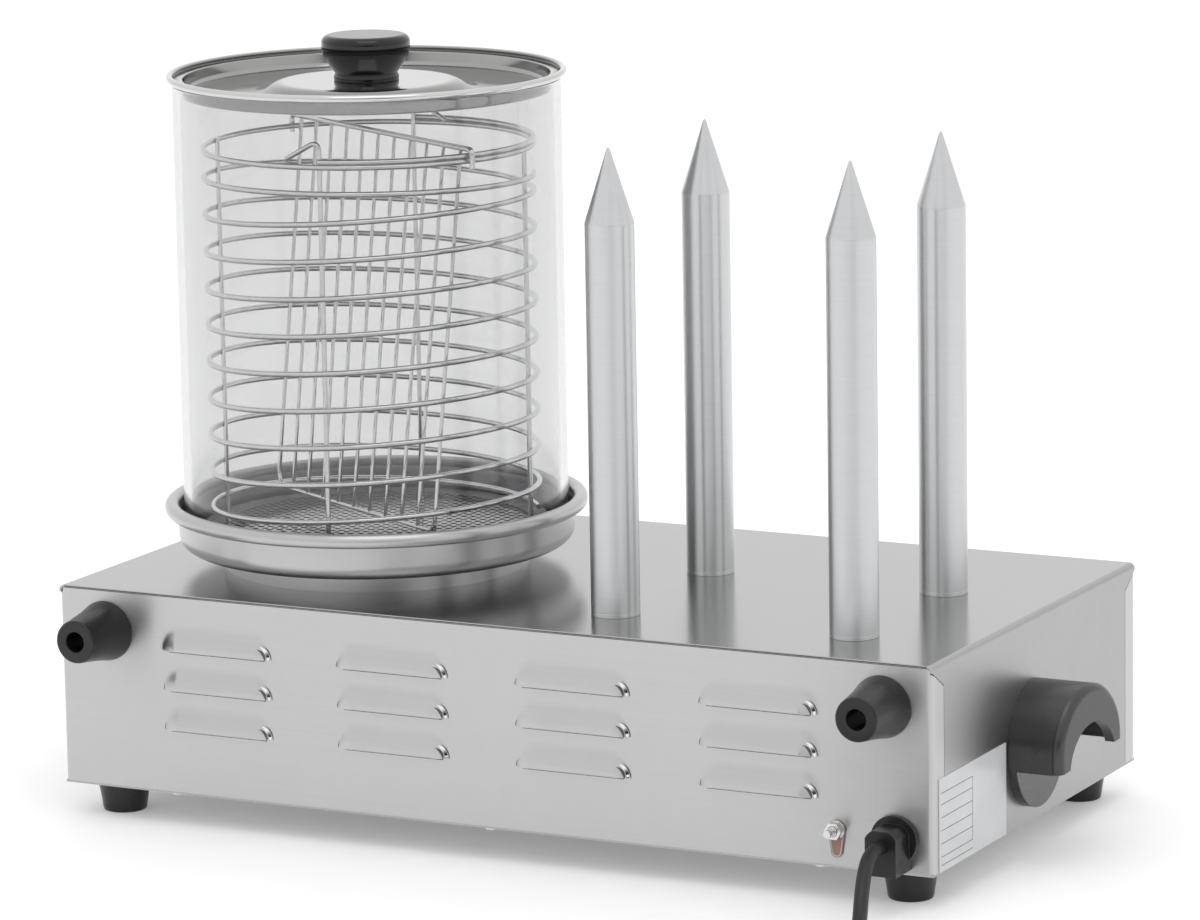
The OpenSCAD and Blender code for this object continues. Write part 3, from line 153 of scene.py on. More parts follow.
print("a 3 by 4 grid has", len(grid(3, 4)), "quads, and", len(grid(3, 4, loop_columns=True)), "when it goes round")

# %% [markdown]
# ### Lathe
#
# Spikes, pan, lid, knob and feet are turned or spun about an axis. `lathe` turns an outline, and `rounded` first
# replaces the outline's corners with short curves, because no real edge is razor sharp and a rounded one catches light.

# %% Lathe
def rounded(points, radius, steps=5, closed=False):
    """A line whose corners become quadratic curves.

    Each curve starts `radius` before its corner and ends as far after it, but never beyond 0.45 of a side.
    `radius` is one number, or one for each corner.
    """
    points = np.asarray(points, float)
    count = len(points)
    t = np.linspace(0, 1, steps + 1)[:, None]
    out = []
    for i, (corner, r) in enumerate(zip(points, np.broadcast_to(radius, count))):
        if r == 0 or (not closed and i in (0, count - 1)):
            out.append(corner[None])
            continue
        before, after = points[i - 1] - corner, points[(i + 1) % count] - corner
        start = corner + before * min(r / np.linalg.norm(before), 0.45)
        end = corner + after * min(r / np.linalg.norm(after), 0.45)
        out.append((1 - t) ** 2 * start + 2 * t * (1 - t) * corner + t ** 2 * end)
    return np.vstack(out)


def lathe(name, outline, place, body, axis="z", sides=96, closed=True):
    """An outline of (radius, height) turned about an axis through `place`. Heights run along the named axis."""
    angle = np.arange(sides) * 2 * pi / sides
    r, h = outline[:, :1], outline[:, 1:]
    a, b, c = r * np.cos(angle), r * np.sin(angle), h + 0 * angle
    order = {"x": (c, a, b), "y": (a, c, -b), "z": (a, b, c), "-z": (a, -b, -c)}
    points = np.stack(order[axis], axis=-1).reshape(-1, 3) + place
    return piece(name, points, grid(len(outline), sides, closed, True).tolist(), body)


def arc(centre, radius, start, end, steps):
    """Points on a circle from one angle to another, in degrees."""
    a = np.radians(np.linspace(start, end, steps))
    return np.stack([centre[0] + radius * np.cos(a), centre[1] + radius * np.sin(a)], axis=1)


print("a square with rounded corners has", len(rounded([(0, 0), (1, 0), (1, 1), (0, 1)], 0.2, closed=True)), "points")

# %% [markdown]
# ### Wire and cord
#
# Basket, divider and cord are round sections carried along a line. A curve object with a bevel would do it, but as a
# mesh the ends, the bends and the normals are in plain view. Many wires may share one object.

# %% Wire
def sweep(path, radius, loop, sides, start):
    """Points and faces of a round tube along a line. Its points are counted from `start`.

    At each point the section lies across the line. Its first direction is square to the line and to the one
    direction that the line follows least, so it doesn't twist. Open ends close with a flat face.
    """
    ahead = np.roll(path, -1, 0) - np.roll(path, 1, 0) if loop else np.gradient(path, axis=0)
    ahead /= np.linalg.norm(ahead, axis=1)[:, None]
    least = np.linalg.svd(ahead.T @ ahead)[2][-1]
    first = np.cross(ahead, least)
    first /= np.linalg.norm(first, axis=1)[:, None]
    second = np.cross(ahead, first)
    turn = (np.arange(sides) * 2 * pi / sides)[None, :, None]
    points = path[:, None] + radius * (np.cos(turn) * first[:, None] + np.sin(turn) * second[:, None])
    faces = (grid(len(path), sides, loop, True) + start).tolist()
    if not loop:
        last = start + (len(path) - 1) * sides
        faces += [list(range(end, end + sides)) for end in (start, last)]
    return points.reshape(-1, 3), faces


def tubes(name, wires, body, sides=12):
    """Several wires in one object. Each wire is (path, radius, loop)."""
    points, faces = np.empty((0, 3)), []
    for wire in wires:
        more, its_faces = sweep(*wire, sides, len(points))
        points = np.vstack([points, more])
        faces += its_faces
    return piece(name, points, faces, body, sharp=60)


print("a straight wire has", len(sweep(np.array([(0.0, 0, 0), (0, 0, 1)]), 0.1, False, 12, 0)[1]), "faces")

# %% [markdown]
# ### Eased solids
#
# Handles, screws and switch keep the shape of their solids. Only their razor edges have to go. A Bevel modifier can't
# work on loose triangles, so a copy of the solid is merged, its flat faces are joined, and the steep edges are rounded.

# %% Eased solids
WELD = 1e-6  # corners of a solid that are closer, in metres, become one
FLAT, STEEP = radians(0.5), radians(30)


def eased(name, node, width, body):
    """A copy of a solid whose steep edges are rounded by `width` millimetres.

    Faces that meet at less than `FLAT` become one, and edges that turn by more than `STEEP` are rounded.
    """
    work = bmesh.new()
    work.from_mesh(nodes[node].data)
    bmesh.ops.remove_doubles(work, verts=work.verts, dist=WELD)
    bmesh.ops.dissolve_limit(work, angle_limit=FLAT, verts=work.verts, edges=work.edges)
    edges = [e for e in work.edges if len(e.link_faces) == 2 and e.calc_face_angle() > STEEP]
    bmesh.ops.bevel(work, geom=edges, offset=width * MM, segments=3, profile=0.5, affect="EDGES",
                    clamp_overlap=True)
    obj = finish_piece(name, work, body, sharp=50)
    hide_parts(node)
    return obj


print("the left handle's solid has", len(nodes["handle_left"].data.polygons), "triangles before easing")

# %% [markdown]
# ## Finishes
#
# A finish is a shader with a few textures and sums before it. Its nodes could be drawn by hand in the Shader Editor.
# Written down, they can be read and changed together. Most helpers add one node beside the socket they are given.

# %% Node helpers
def feed(node, inputs):
    """Inputs of a node by name or number: a socket is linked, and a plain value is set."""
    for label, value in inputs.items():
        if isinstance(value, bpy.types.NodeSocket):
            node.id_data.links.new(value, node.inputs[label])
        else:
            node.inputs[label].default_value = value


def new_node(tree, kind, inputs=None, **settings):
    """A new shader node with its settings and inputs."""
    node = tree.nodes.new("ShaderNode" + kind)
    for label, value in settings.items():
        setattr(node, label, value)
    feed(node, inputs or {})
    return node


def coordinates(tree, which="Object"):
    """A point's place on its own piece in metres, or another output of the Texture Coordinate node."""
    return new_node(tree, "TexCoord").outputs[which]


def noise(place, scale, detail=2.0, rough=0.55):
    """Noise at a place."""
    inputs = {"Vector": place, "Scale": scale, "Detail": detail, "Roughness": rough}
    return new_node(place.id_data, "TexNoise", inputs).outputs["Fac"]


def maths(operation, *operands):
    """The result of a Math node, whose first operand is a socket."""
    return new_node(operands[0].id_data, "Math", dict(enumerate(operands)), operation=operation).outputs[0]


def spread(source, low, high, span):
    """A value that goes from `low` to `high` while its source goes through `span`."""
    labels = ("Value", "From Min", "From Max", "To Min", "To Max")
    return new_node(source.id_data, "MapRange", dict(zip(labels, (source, *span, low, high)))).outputs["Result"]


def blend(share, low, high):
    """A colour between two, by a share from 0 to 1. Each colour is a socket or four numbers."""
    return new_node(share.id_data, "Mix", {"Factor": share, "A": low, "B": high}, data_type="RGBA").outputs["Result"]


def greys(source, stops, blue=1.0):
    """A Color Ramp of greys. A stop is (value from 0 to 1, grey), the first at 0, and `blue` scales the blue part."""
    ramp = new_node(source.id_data, "ValToRGB", {"Fac": source})
    elements = ramp.color_ramp.elements
    elements.remove(elements[1])
    for where, grey in stops:
        element = elements.new(where) if where else elements[0]
        element.color = (grey, grey, grey * blue, 1)
    return ramp


print("helpers:", *(f.__name__ for f in (coordinates, noise, maths, spread, blend, greys)))

# %% [markdown]
# ### Grain and mottle
#
# Two effects are shared, so each is a node group. `grain` is noise stretched into the fine lines of brushed or drawn
# metal, and `mottle` the slow unevenness of every real surface. Both could be image textures, but noise on Object
# coordinates keeps its real size and needs no file. `fresh` starts a material, and `shared` places a group in it.

# %% Grain and mottle
def group(name, label, kind, result):
    """A node group with one input and one output value: its tree, the input's socket and the output node."""
    tree = bpy.data.node_groups.new(name, "ShaderNodeTree")
    tree.interface.new_socket(label, in_out="INPUT", socket_type=kind)
    tree.interface.new_socket(result, in_out="OUTPUT", socket_type="NodeSocketFloat")
    return tree, tree.nodes.new("NodeGroupInput").outputs[label], tree.nodes.new("NodeGroupOutput")


def make_grain():
    """Fine parallel lines: noise on coordinates that are multiplied by the Stretch vector."""
    tree, stretch, result = group("grain", "Stretch", "NodeSocketVector", "Lines")
    place = new_node(tree, "VectorMath", {0: coordinates(tree), 1: stretch}, operation="MULTIPLY").outputs[0]
    feed(result, {"Lines": noise(place, 1.0, 4.0, 0.6)})
    return tree


def make_mottle():
    """Slow unevenness: two sizes of noise, multiplied."""
    tree, scale, result = group("mottle", "Scale", "NodeSocketFloat", "Tone")
    place = coordinates(tree)
    feed(result, {"Tone": maths("MULTIPLY", noise(place, scale), noise(place, 60.0))})
    return tree


def fresh(name, **inputs):
    """A new material, its node tree and its shader."""
    material = bpy.data.materials.new(name)
    material.use_nodes = True
    shader = material.node_tree.nodes["Principled BSDF"]
    feed(shader, {label.replace("_", " "): value for label, value in inputs.items()})
    return material, material.node_tree, shader


def bump(height, strength, depth):
    """The normal of a bump of a real depth in millimetres."""
    inputs = {"Height": height, "Strength": strength, "Distance": depth * MM}
    return new_node(height.id_data, "Bump", inputs).outputs["Normal"]


def shared(tree, which, value):
    """A use of one of the shared groups."""
    return new_node(tree, "Group", node_tree=which, inputs={0: value}).outputs[0]


GRAIN, MOTTLE = make_grain(), make_mottle()
MOTTLE_SPAN, METAL_SPAN = (0.1, 0.45), (0.45, 1.1)  # where mottle lies, and where its sum with grain lies
print("shared groups:", GRAIN.name, MOTTLE.name)

# %% [markdown]
# ### Metals
#
# The housing is brushed stainless sheet, the wires are drawn and polished, the pan is satin aluminium, and the spikes
# are turned. Each could be built node by node, but one maker keeps them alike. Greys stay near those of real metal, so
# that other light suits them too.

# %% Metals
METAL_DRIFT = 7.0  # scale of the mottle


def metal(name, dark, light, rough, stretch, lines=0.25, depth=0.01, spread_out=0.0, along=None,
          cast=(1, 1, 1)):
    """Bare metal: fine lines in height, and tone and gloss that drift slowly over the surface.

    `dark` and `light` are greys, and `cast` turns them into a colour. `rough` is a range, `stretch` sets the grain, and
    `lines` and `depth` its bump. Grooves spread gloss across themselves, by the share `spread_out` in the direction
    `along`. Without a direction they run round the upright axis, as on the lathe.
    """
    material, tree, shader = fresh(name, Metallic=1.0)
    grain = shared(tree, GRAIN, stretch)
    both = maths("ADD", grain, shared(tree, MOTTLE, METAL_DRIFT))
    tones = [(*(grey * c for c in cast), 1) for grey in (dark, light)]
    feed(shader, {"Base Color": blend(spread(both, 0, 1, METAL_SPAN), *tones),
                  "Roughness": spread(both, *rough, METAL_SPAN), "Normal": bump(grain, lines, depth)})
    if along:
        way = new_node(tree, "CombineXYZ", dict(enumerate(along)))
        feed(shader, {"Anisotropic": spread_out, "Tangent": way.outputs[0]})
    elif spread_out:
        way = new_node(tree, "Tangent", direction_type="RADIAL", axis="Z")
        feed(shader, {"Anisotropic": spread_out, "Anisotropic Rotation": 0.25, "Tangent": way.outputs[0]})
    return material


SHEET = metal("brushed_sheet", 0.40, 0.44, (0.16, 0.20), (5, 900, 900), lines=0.02, depth=0.002)
PANEL = metal("brushed_panel", 0.53, 0.57, (0.30, 0.36), (5, 900, 900), lines=0.03, depth=0.003,
              spread_out=0.8, along=(0, 0, 1))
BRIGHT = metal("bright_steel", 0.70, 0.76, (0.12, 0.18), (300, 300, 40), lines=0.04, depth=0.004)
WIRE = metal("drawn_wire", 0.92, 0.96, (0.07, 0.11), (200, 200, 200), lines=0.01, depth=0.002)
SATIN = metal("satin_aluminium", 0.50, 0.54, (0.30, 0.36), (40, 40, 1100), lines=0.05, depth=0.005,
              spread_out=0.6, cast=(1, 1, 1.01))
TURNED = metal("turned_aluminium", 0.62, 0.67, (0.34, 0.40), (30, 30, 1500), lines=0.02, depth=0.003,
               spread_out=0.8, cast=(0.99, 1, 1.01))
# Dark steel for the heater element. The same material gives the painted shade strips at the louvres and the top seam.
DARK_STEEL_AND_SHADE = metal("tinted_steel", 0.10, 0.16, (0.35, 0.45), (80, 80, 80))
BRASS = metal("plain_brass", 0.45, 0.58, (0.2, 0.32), (60, 60, 900), cast=(1.35, 1, 0.46))
print("metals:", *(m.name for m in (SHEET, PANEL, BRIGHT, WIRE, SATIN, TURNED, DARK_STEEL_AND_SHADE, BRASS)))

# %% [markdown]
# The sides of the housing are ground more coarsely than its top, which mirrors the spikes. The wires get painted shade
# below: their colour is darker on their undersides, a painted stand-in for the dark reflection there. Both could be
# materials of their own. They follow the way the surface faces, so they are mixed in by its normal.

# %% Sides and wires
# The wires' painted shade fades in while the upward part of the normal goes through this range.
FROM_BELOW = (-0.55, 0.25)  # upward part of the normal between dull and bright


def parts_of(material, label):
    """The tree of a material, its shader, what feeds the named socket, and X, Y and Z of the surface's normal."""
    tree = material.node_tree
    shader = tree.nodes["Principled BSDF"]
    normal = new_node(tree, "SeparateXYZ", {0: coordinates(tree, "Normal")}).outputs
    return tree, shader, shader.inputs[label].links[0].from_socket, normal


def coarser_sides(material, rough):
    """Roughness grows to `rough` where the normal points along X."""
    tree, shader, before, normal = parts_of(material, "Roughness")
    share = maths("ABSOLUTE", normal["X"])
    feed(shader, {"Roughness": new_node(tree, "Mix", {"Factor": share, "A": before, "B": rough}).outputs["Result"]})


def painted_shade_below(material, least):
    """Painted shade: the base colour falls to the share `least` of itself where the normal points down."""
    tree, shader, before, normal = parts_of(material, "Base Color")
    share = spread(normal["Z"], least, 1, FROM_BELOW)
    dull = new_node(tree, "VectorMath", operation="SCALE", inputs={0: before, "Scale": share})
    feed(shader, {"Base Color": dull.outputs[0]})


coarser_sides(SHEET, 0.36)
# Painted shade on the undersides of the wires.
painted_shade_below(WIRE, 0.30)
print("changed by the normal:", SHEET.name, WIRE.name)

# %% [markdown]
# The spun lid has painted reflections: its tone is painted dark in its trough and in a narrow ring near its edge, and
# bright on its raised middle and its edge. A painted texture could show it, but the zones are rings, so the distance
# from the lid's axis is enough to choose the tone.

# %% Lid finish
LID_REACH, LID_BLUE = 110.0, 0.99  # distance at the end of the ramp, and share of blue in its greys
# Greys of the painted reflections on the lid, by distance from its axis.
LID_PAINTED_TONES = ((0, 0.54), (42, 0.54), (47, 0.34), (54, 0.25), (91, 0.20), (93, 0.36), (96, 0.42), (97.4, 0.12),
         (99.2, 0.12), (100.3, 0.62))


def lid_with_painted_reflections(zones):
    """Polished steel with painted reflections, whose tone follows the distance from the stack's axis.

    A zone is (distance in mm, grey).
    """
    material, tree, shader = fresh("spun_lid", Metallic=1.0)
    centre = new_node(tree, "Mapping", {0: coordinates(tree), "Location": (-STACK[0] * MM, -STACK[1] * MM, 0)})
    flat = new_node(tree, "VectorMath", {0: centre.outputs[0], 1: (1, 1, 0)}, operation="MULTIPLY")
    far = new_node(tree, "VectorMath", {0: flat.outputs[0]}, operation="LENGTH").outputs["Value"]
    stops = [(distance / LID_REACH, grey) for distance, grey in zones]
    tones = greys(spread(far, 0, 1, (0, LID_REACH * MM)), stops, LID_BLUE)
    rough = spread(shared(tree, MOTTLE, METAL_DRIFT), 0.08, 0.13, MOTTLE_SPAN)
    feed(shader, {"Base Color": tones.outputs["Color"], "Roughness": rough})
    return material


LID = lid_with_painted_reflections(LID_PAINTED_TONES)
print("lid:", LID.name, "with", len(LID_PAINTED_TONES), "zones")

# %% [markdown]
# ### Plastic, rubber and print
#
# Moulded pieces have a fine even grain and a gloss that drifts. Scans of plastic would show it too, but two tones of
# one colour and a small bump are enough at this distance.

# %% Plastic, rubber and print
MOULDED_DRIFT = 30.0  # scale of the mottle


def moulded(name, dark, light, rough, scale, depth, strength=0.3, shine=0.5):
    """Moulded plastic or rubber: a fine even grain, with slow changes of tone and gloss, and a share of shine.

    `dark` and `light` are colours, `rough` is a range, `scale` sets the grain, and `depth` and `strength` its bump.
    """
    material, tree, shader = fresh(name, Specular_IOR_Level=shine)
    fine = noise(coordinates(tree), scale)
    drift = shared(tree, MOTTLE, MOULDED_DRIFT)
    feed(shader, {"Base Color": blend(spread(drift, 0, 1, MOTTLE_SPAN), (*dark, 1), (*light, 1)),
                  "Roughness": spread(drift, *rough, MOTTLE_SPAN), "Normal": bump(fine, strength, depth)})
    return material


RUBBER = moulded("black_rubber", (0.007, 0.007, 0.007), (0.010, 0.010, 0.011), (0.26, 0.31), 1800, 0.02, 0.2)
GRIP = moulded("grip_plastic", (0.015, 0.015, 0.016), (0.020, 0.020, 0.021), (0.26, 0.29), 2600, 0.03, 0.2, 0.8)
CORD = moulded("cord_sheath", (0.008, 0.008, 0.008), (0.016, 0.016, 0.017), (0.38, 0.52), 900, 0.02)
GLOSS = moulded("black_gloss", (0.004, 0.004, 0.004), (0.007, 0.007, 0.008), (0.05, 0.09), 300, 0.004, 0.05)
FILM = moulded("plate_film", (0.63, 0.64, 0.65), (0.69, 0.70, 0.71), (0.28, 0.36), 700, 0.006, 0.1)
RULES = moulded("printed_rules", (0.05, 0.05, 0.06), (0.10, 0.10, 0.11), (0.4, 0.5), 900, 0.004, 0.1)
TAG = moulded("tag_lacquer", (0.30, 0.17, 0.14), (0.40, 0.24, 0.20), (0.3, 0.45), 900, 0.01)
PALE = moulded("pale_print", (0.62, 0.58, 0.55), (0.75, 0.71, 0.68), (0.3, 0.45), 900, 0.006)
AMBER = moulded("amber_lens", (0.65, 0.22, 0.02), (0.80, 0.32, 0.04), (0.06, 0.12), 500, 0.01, 0.1)
RED = moulded("switch_red", (0.30, 0.02, 0.015), (0.42, 0.03, 0.022), (0.12, 0.2), 700, 0.01, 0.1)
CREAM = moulded("cream_insulator", (0.60, 0.56, 0.46), (0.72, 0.68, 0.58), (0.4, 0.55), 900, 0.02)
print("moulded:", *(m.name for m in (RUBBER, GRIP, CORD, GLOSS, FILM, RULES, TAG, PALE, AMBER, RED, CREAM)))

# %% [markdown]
# ### Glass
#
# The steam cylinder is clear with a faint grey cast. A thin pane could be a plain transparent shader, but this wall is
# thick and bends what stands behind it. Its body also takes a little light away on long ways, as at its edges.

# %% Glass
GLASS_DARK, GLASS_LIGHT = (0.79, 0.79, 0.795, 1), (0.81, 0.81, 0.815, 1)
GLASS_BODY, GLASS_DENSITY, GLASS_DRIFT = (0.62, 0.64, 0.64, 1), 15, 5.0


def make_glass():
    """Clear glass whose tone drifts by a hair, with a body that absorbs a little."""
    material, tree, shader = fresh("clear_glass", Transmission_Weight=1.0, IOR=1.47, Roughness=0.0)
    drift = spread(shared(tree, MOTTLE, GLASS_DRIFT), 0, 1, MOTTLE_SPAN)
    feed(shader, {"Base Color": blend(drift, GLASS_DARK, GLASS_LIGHT)})
    body = new_node(tree, "VolumeAbsorption", {"Color": GLASS_BODY, "Density": GLASS_DENSITY})
    feed(tree.nodes["Material Output"], {"Volume": body.outputs["Volume"]})
    return material


GLASS = make_glass()
print("glass:", GLASS.name)

# %% [markdown]
# ### Paint
#
# Every solid gets the finish of its slot, including those that pieces will replace below. Finishes could be set piece
# by piece, but the record has the slots. The two panels are brushed more coarsely than the folded sheet.

# %% Paint the solids
def paint(obj, material):
    """One material on the whole piece."""
    obj.data.materials.clear()
    obj.data.materials.append(material)
    return obj


FINISH = {"body_steel": SHEET, "bright_steel": BRIGHT, "satin_aluminium": SATIN, "rubber": RUBBER,
          "handle_plastic": GRIP, "black_gloss": GLOSS, "clear_glass": GLASS, "brass": BRASS, "plate_film": FILM,
          "tag_film": TAG, "lamp_amber": AMBER, "switch_red": RED, "insulator": CREAM, "element_steel": DARK_STEEL_AND_SHADE}
slots = {s["node"]: s["material_slot"] for s in frame["record"]["subparts"]}
for node in nodes.values():
    paint(node, PANEL if node.name in ("rear_panel", "front_panel") else FINISH[slots[node.name]])
    smooth(node.data, sharp=30)
print("painted", len(nodes), "solids in", len(set(slots.values())), "slots")

# %% [markdown]
# ## The cord
#
# The mains cord leaves the gland, bends down to the table and ends in a tied coil and a plug outside the picture. It
# could be a curve with a bevel, but its length has to be exact, so its line is worked out. The coil winds inwards in
# one layer, climbs in half a turn and winds outwards in a second. A Catmull-Rom curve joins the points elsewhere.

# %% Cord line
CORD_R = 3.6
COIL = np.array([-200.0, 312.0])  # the coil's axis
COIL_R, COIL_IN = 48.0, 29.0  # its outer and inner radius
PITCH, TURNS, COIL_Z = 8.0, 2.375, 4.8
PLUG = (-154, 360, 18.5)  # where the cord enters the plug


def spline(points, steps=6):
    """A Catmull-Rom curve through the points: each stretch leaves a point along the line between its neighbours."""
    p = np.asarray(points, float)
    p = np.vstack([2 * p[0] - p[1], p, 2 * p[-1] - p[-2]])
    a, b, c, d = (q[:, None] for q in (p[:-3], p[1:-2], p[2:-1], p[3:]))
    t = np.linspace(0, 1, steps, endpoint=False)[None, :, None]
    out = 0.5 * (2 * b + (c - a) * t + (2 * a - 5 * b + 4 * c - d) * t ** 2 + (3 * b - a - 3 * c + d) * t ** 3)
    return np.vstack([out.reshape(-1, 3), p[-2]])


def coil_line(steps=40):
    """The coil's line: radius falls by one pitch a turn, dips while the cord climbs, and grows again."""
    total = 2 * TURNS + 0.5
    t = np.linspace(0, total, int(total * steps) + 1)
    s = np.clip(t - TURNS, 0, 0.5)
    r = np.where(t <= TURNS, COIL_R - PITCH * t, np.where(
        t < TURNS + 0.5, COIL_IN - PITCH * s * (1 - 2 * s), COIL_IN + PITCH * (t - TURNS - 0.5)))
    z = COIL_Z + PITCH * (2 * s) ** 2 * (3 - 4 * s)
    a = pi - 2 * pi * t
    return np.stack([COIL[0] + r * np.cos(a), COIL[1] + r * np.sin(a), z], axis=1)


lead = spline([(-225, 147.5, 34.4), (-225, 154.7, 34.4), (-225.7, 163, 32), (-227.3, 171, 27), (-229.6, 179, 20.2),
               (-232.4, 187, 13.6), (-235.7, 196, 8.2), (-239, 206, 5), (-242.2, 219, 4), (-244.8, 234, 4),
               (-246.8, 252, 4.2), (-247.8, 272, 4.5), (-248, 297.6, 4.8), (-248, 312, 4.8)])
tail = spline([(-200, 360, 12.8), (-192.8, 360, 12.8), (-180, 360, 14.8), (-168, 360, 17.2), (-161.2, 360, 18.5),
               PLUG])
line = np.vstack([lead[:-1], coil_line()[:-1], tail])

# %% [markdown]
# The plug is a moulded body with ribs where fingers pull it, turned on the lathe. Its pins stay as solids. The tie is
# a strap round the coil.

# %% Cord, plug and tie
cord = paint(tubes("mains_cord", [(line, CORD_R, False)], "base", 14), CORD)
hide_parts("cord_lead", "cord_coil", "cord_tail")
RIBS, RIB_STEP = 5, 3.4
ribs = [(r, x + RIB_STEP * k) for k in range(RIBS) for r, x in ((5.6 + 0.25 * k, 3), (5.4, 4.7))]
plug_line = [(0, 0), (4.8, 0), *ribs, (6.6, 20), (18.4, 35), (18.4, 54), (0, 54)]
plug_line = rounded(plug_line, [0, 0.6, *[0.8] * len(ribs), 2, 5, 1.6, 0], 4)
plug = paint(lathe("plug_shell", plug_line, PLUG, "base", "x", 48, closed=False), RUBBER)
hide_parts("plug_body")
tie = paint(eased("cord_tie", "coil_tie", 0.4, "base"), GRIP)
tell(cord, plug, tie)

# %% [markdown]
# ## The steam glass
#
# Heights in this part are above the top sheet. Pan and glass are outlines for the lathe, where Spin would do the same
# by hand. The pan's rim is rolled outwards, so its outline goes round the rim once outside and once inside.

# %% Pan and glass
def at(height):
    """A point on the stack's axis, `height` above the top sheet."""
    return (*STACK, TOP + height)


PAN_LOW = 10.25  # the pan's floor
CORNER, ROLLED = (95, 8), (106.2, 21.7)  # centres of the pan's lower corner and of its rolled rim
pan_outline = np.vstack([[(0, 0)], arc(CORNER, 8, -90, 0, 9), [(103, 19)], arc(ROLLED, 3.8, 215, -60, 24),
                         arc(ROLLED, 2.6, -60, 170, 14), [(101.5, 19)], arc(CORNER, 6.5, 0, -90, 9), [(0, 1.5)]])
pan = paint(lathe("pan_shell", pan_outline, at(PAN_LOW), "water_pan", sides=160), SATIN)
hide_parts("water_pan")

GLASS_LOW, GLASS_TOP = 14.347, 253.547
GLASS_IN, GLASS_OUT = 96, 100
glass_outline = rounded([(GLASS_IN, GLASS_LOW), (GLASS_OUT, GLASS_LOW), (GLASS_OUT, GLASS_TOP),
                         (GLASS_IN, GLASS_TOP)], 1.2, 4, closed=True)
glass = paint(lathe("glass_wall", glass_outline, at(0), "glass", sides=192), GLASS)
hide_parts("glass_cylinder")
tell(pan, glass)

# %% [markdown]
# The steam plate is a sheet with close rows of small holes and a turned-down edge. Booleans would be slow for about a
# thousand holes. Instead, one six-sided cell with a round hole is a few dozen quads, and numpy repeats it.

# %% Steam plate
CELL, HOLE, ROW_TURN = 5.0, 1.7, radians(27)  # distance and radius of the holes, and how far their rows are turned
SIEVE_R, SIEVE_THICK = 83, 1.0
PLATE_TOP = max((nodes["steam_plate"].matrix_world @ Vector(c)).z for c in nodes["steam_plate"].bound_box) / MM


def cells(pitch, hole, row_turn, reach, centre, height, thick):
    """Six-sided cells in rows that are staggered by half a pitch, each with a round hole through its thickness.

    A cell has four rings of twelve points: outline and hole above, hole and outline below. The outline's points are the
    middles of its sides, pitch / 2 from the centre, and its corners, pitch / sqrt 3 from it. Only cells whose centre
    lies within `reach` stay. The rows are turned by `row_turn`.
    """
    n = int(reach / pitch * 1.2) + 2
    i, j = np.meshgrid(np.arange(-n, n + 1), np.arange(-n, n + 1), indexing="ij")
    middle = np.stack([(i + 0.5 * (j % 2)) * pitch, j * pitch * np.sqrt(0.75)], axis=-1).reshape(-1, 2)
    middle = middle[np.hypot(*middle.T) < reach]
    a = np.arange(12) * pi / 6
    edge = np.where(np.arange(12) % 2 == 0, pitch / 2, pitch / np.sqrt(3))
    out = np.stack([np.cos(a), np.sin(a)], axis=1)
    rings = np.stack([out * edge[:, None], out * hole, out * hole, out * edge[:, None]])
    turn = np.array([[cos(row_turn), sin(row_turn)], [-sin(row_turn), cos(row_turn)]])
    flat = (middle[:, None, None] + rings[None]) @ turn + centre
    level = np.broadcast_to((height - thick * np.array([0, 0, 1, 1]))[None, :, None, None], (*flat.shape[:-1], 1))
    faces = np.arange(len(middle))[:, None, None] * rings[..., 0].size + grid(4, 12, False, True)[None]
    return np.concatenate([flat, level], axis=-1).reshape(-1, 3), faces.reshape(-1, 4).tolist(), len(middle)


points, faces, count = cells(CELL, HOLE, ROW_TURN, SIEVE_R, STACK, PLATE_TOP, SIEVE_THICK)
sieve = paint(piece("steam_sheet", points, faces, "steam_plate"), BRIGHT)
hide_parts("steam_plate")
edge_line = rounded([(80, -0.08), (92.9, -0.08), (92.9, -8.9), (91.7, -8.9), (91.7, -1.2), (80, -1.2)],
                    [0, 1.6, 0.3, 0.3, 0.8, 0], 5, closed=True)
paint(lathe("steam_sheet_rim", edge_line, (*STACK, PLATE_TOP), "steam_plate", sides=128), BRIGHT)
print(count, "holes in the steam plate, whose top is at", round(PLATE_TOP, 2))

# %% [markdown]
# The lid is spun from sheet: a raised middle, a trough, a low wall and a rolled edge that rests on the glass. Its
# knob is a bowl with a rounded top on a narrow foot. Both are outlines for the lathe.

# %% Lid and knob
LID_Z = GLASS_TOP + 0.25
DISH, DOME = LID_Z - 7.2, LID_Z - 1.4
lid_top = [(2.75, DOME), (47, DOME), (54, DISH + 1.2), (92.4, DISH + 1.2), (93.6, DISH + 2.6), (94.4, LID_Z + 1.2),
           (100.2, LID_Z + 1.2)]
lid_low = [(101.1, LID_Z), (94.8, LID_Z), (94.8, DISH + 0.8), (93.6, DISH), (52.8, DISH), (45.8, DOME - 1.2),
           (2.75, DOME - 1.2)]
lid_outline = np.vstack([rounded(lid_top, [0, 4, 4, 1, 1, 0.6, 0], 6), arc((101.1, LID_Z + 1.9), 1.9, 160, -90, 16),
                         rounded(lid_low, [0, 0.5, 1, 1, 3, 3, 0], 5)])
lid = paint(lathe("lid_dish", lid_outline, at(0), "lid", sides=160), LID)
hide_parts("lid_shell")

t = np.linspace(0, 1, 13)
bowl = np.stack([16 + 6.9 * np.sin(pi / 2 * t), 3.75 + 14 * t], axis=1)
knob_line = np.vstack([[(0, 0), (16.8, 0), (16.8, 2)], bowl, arc((18.9, 19.5), 4, 0, 90, 12), [(0, 23.5)]])
knob = paint(lathe("lid_grip", rounded(knob_line, 0.5, 3), at(DOME), "lid", closed=False), GLOSS)
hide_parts("lid_knob")
tell(lid, knob)

# %% [markdown]
# The basket is bent from wire. One wire winds down in half turns under a closed top ring, and `ENDS` gives the heights
# at which they meet. Two of its four uprights end in hooks with a falling arm, by which it is lifted. A Screw modifier
# could wind it, but not with turns that lean. All wires are welded, so they are one object.

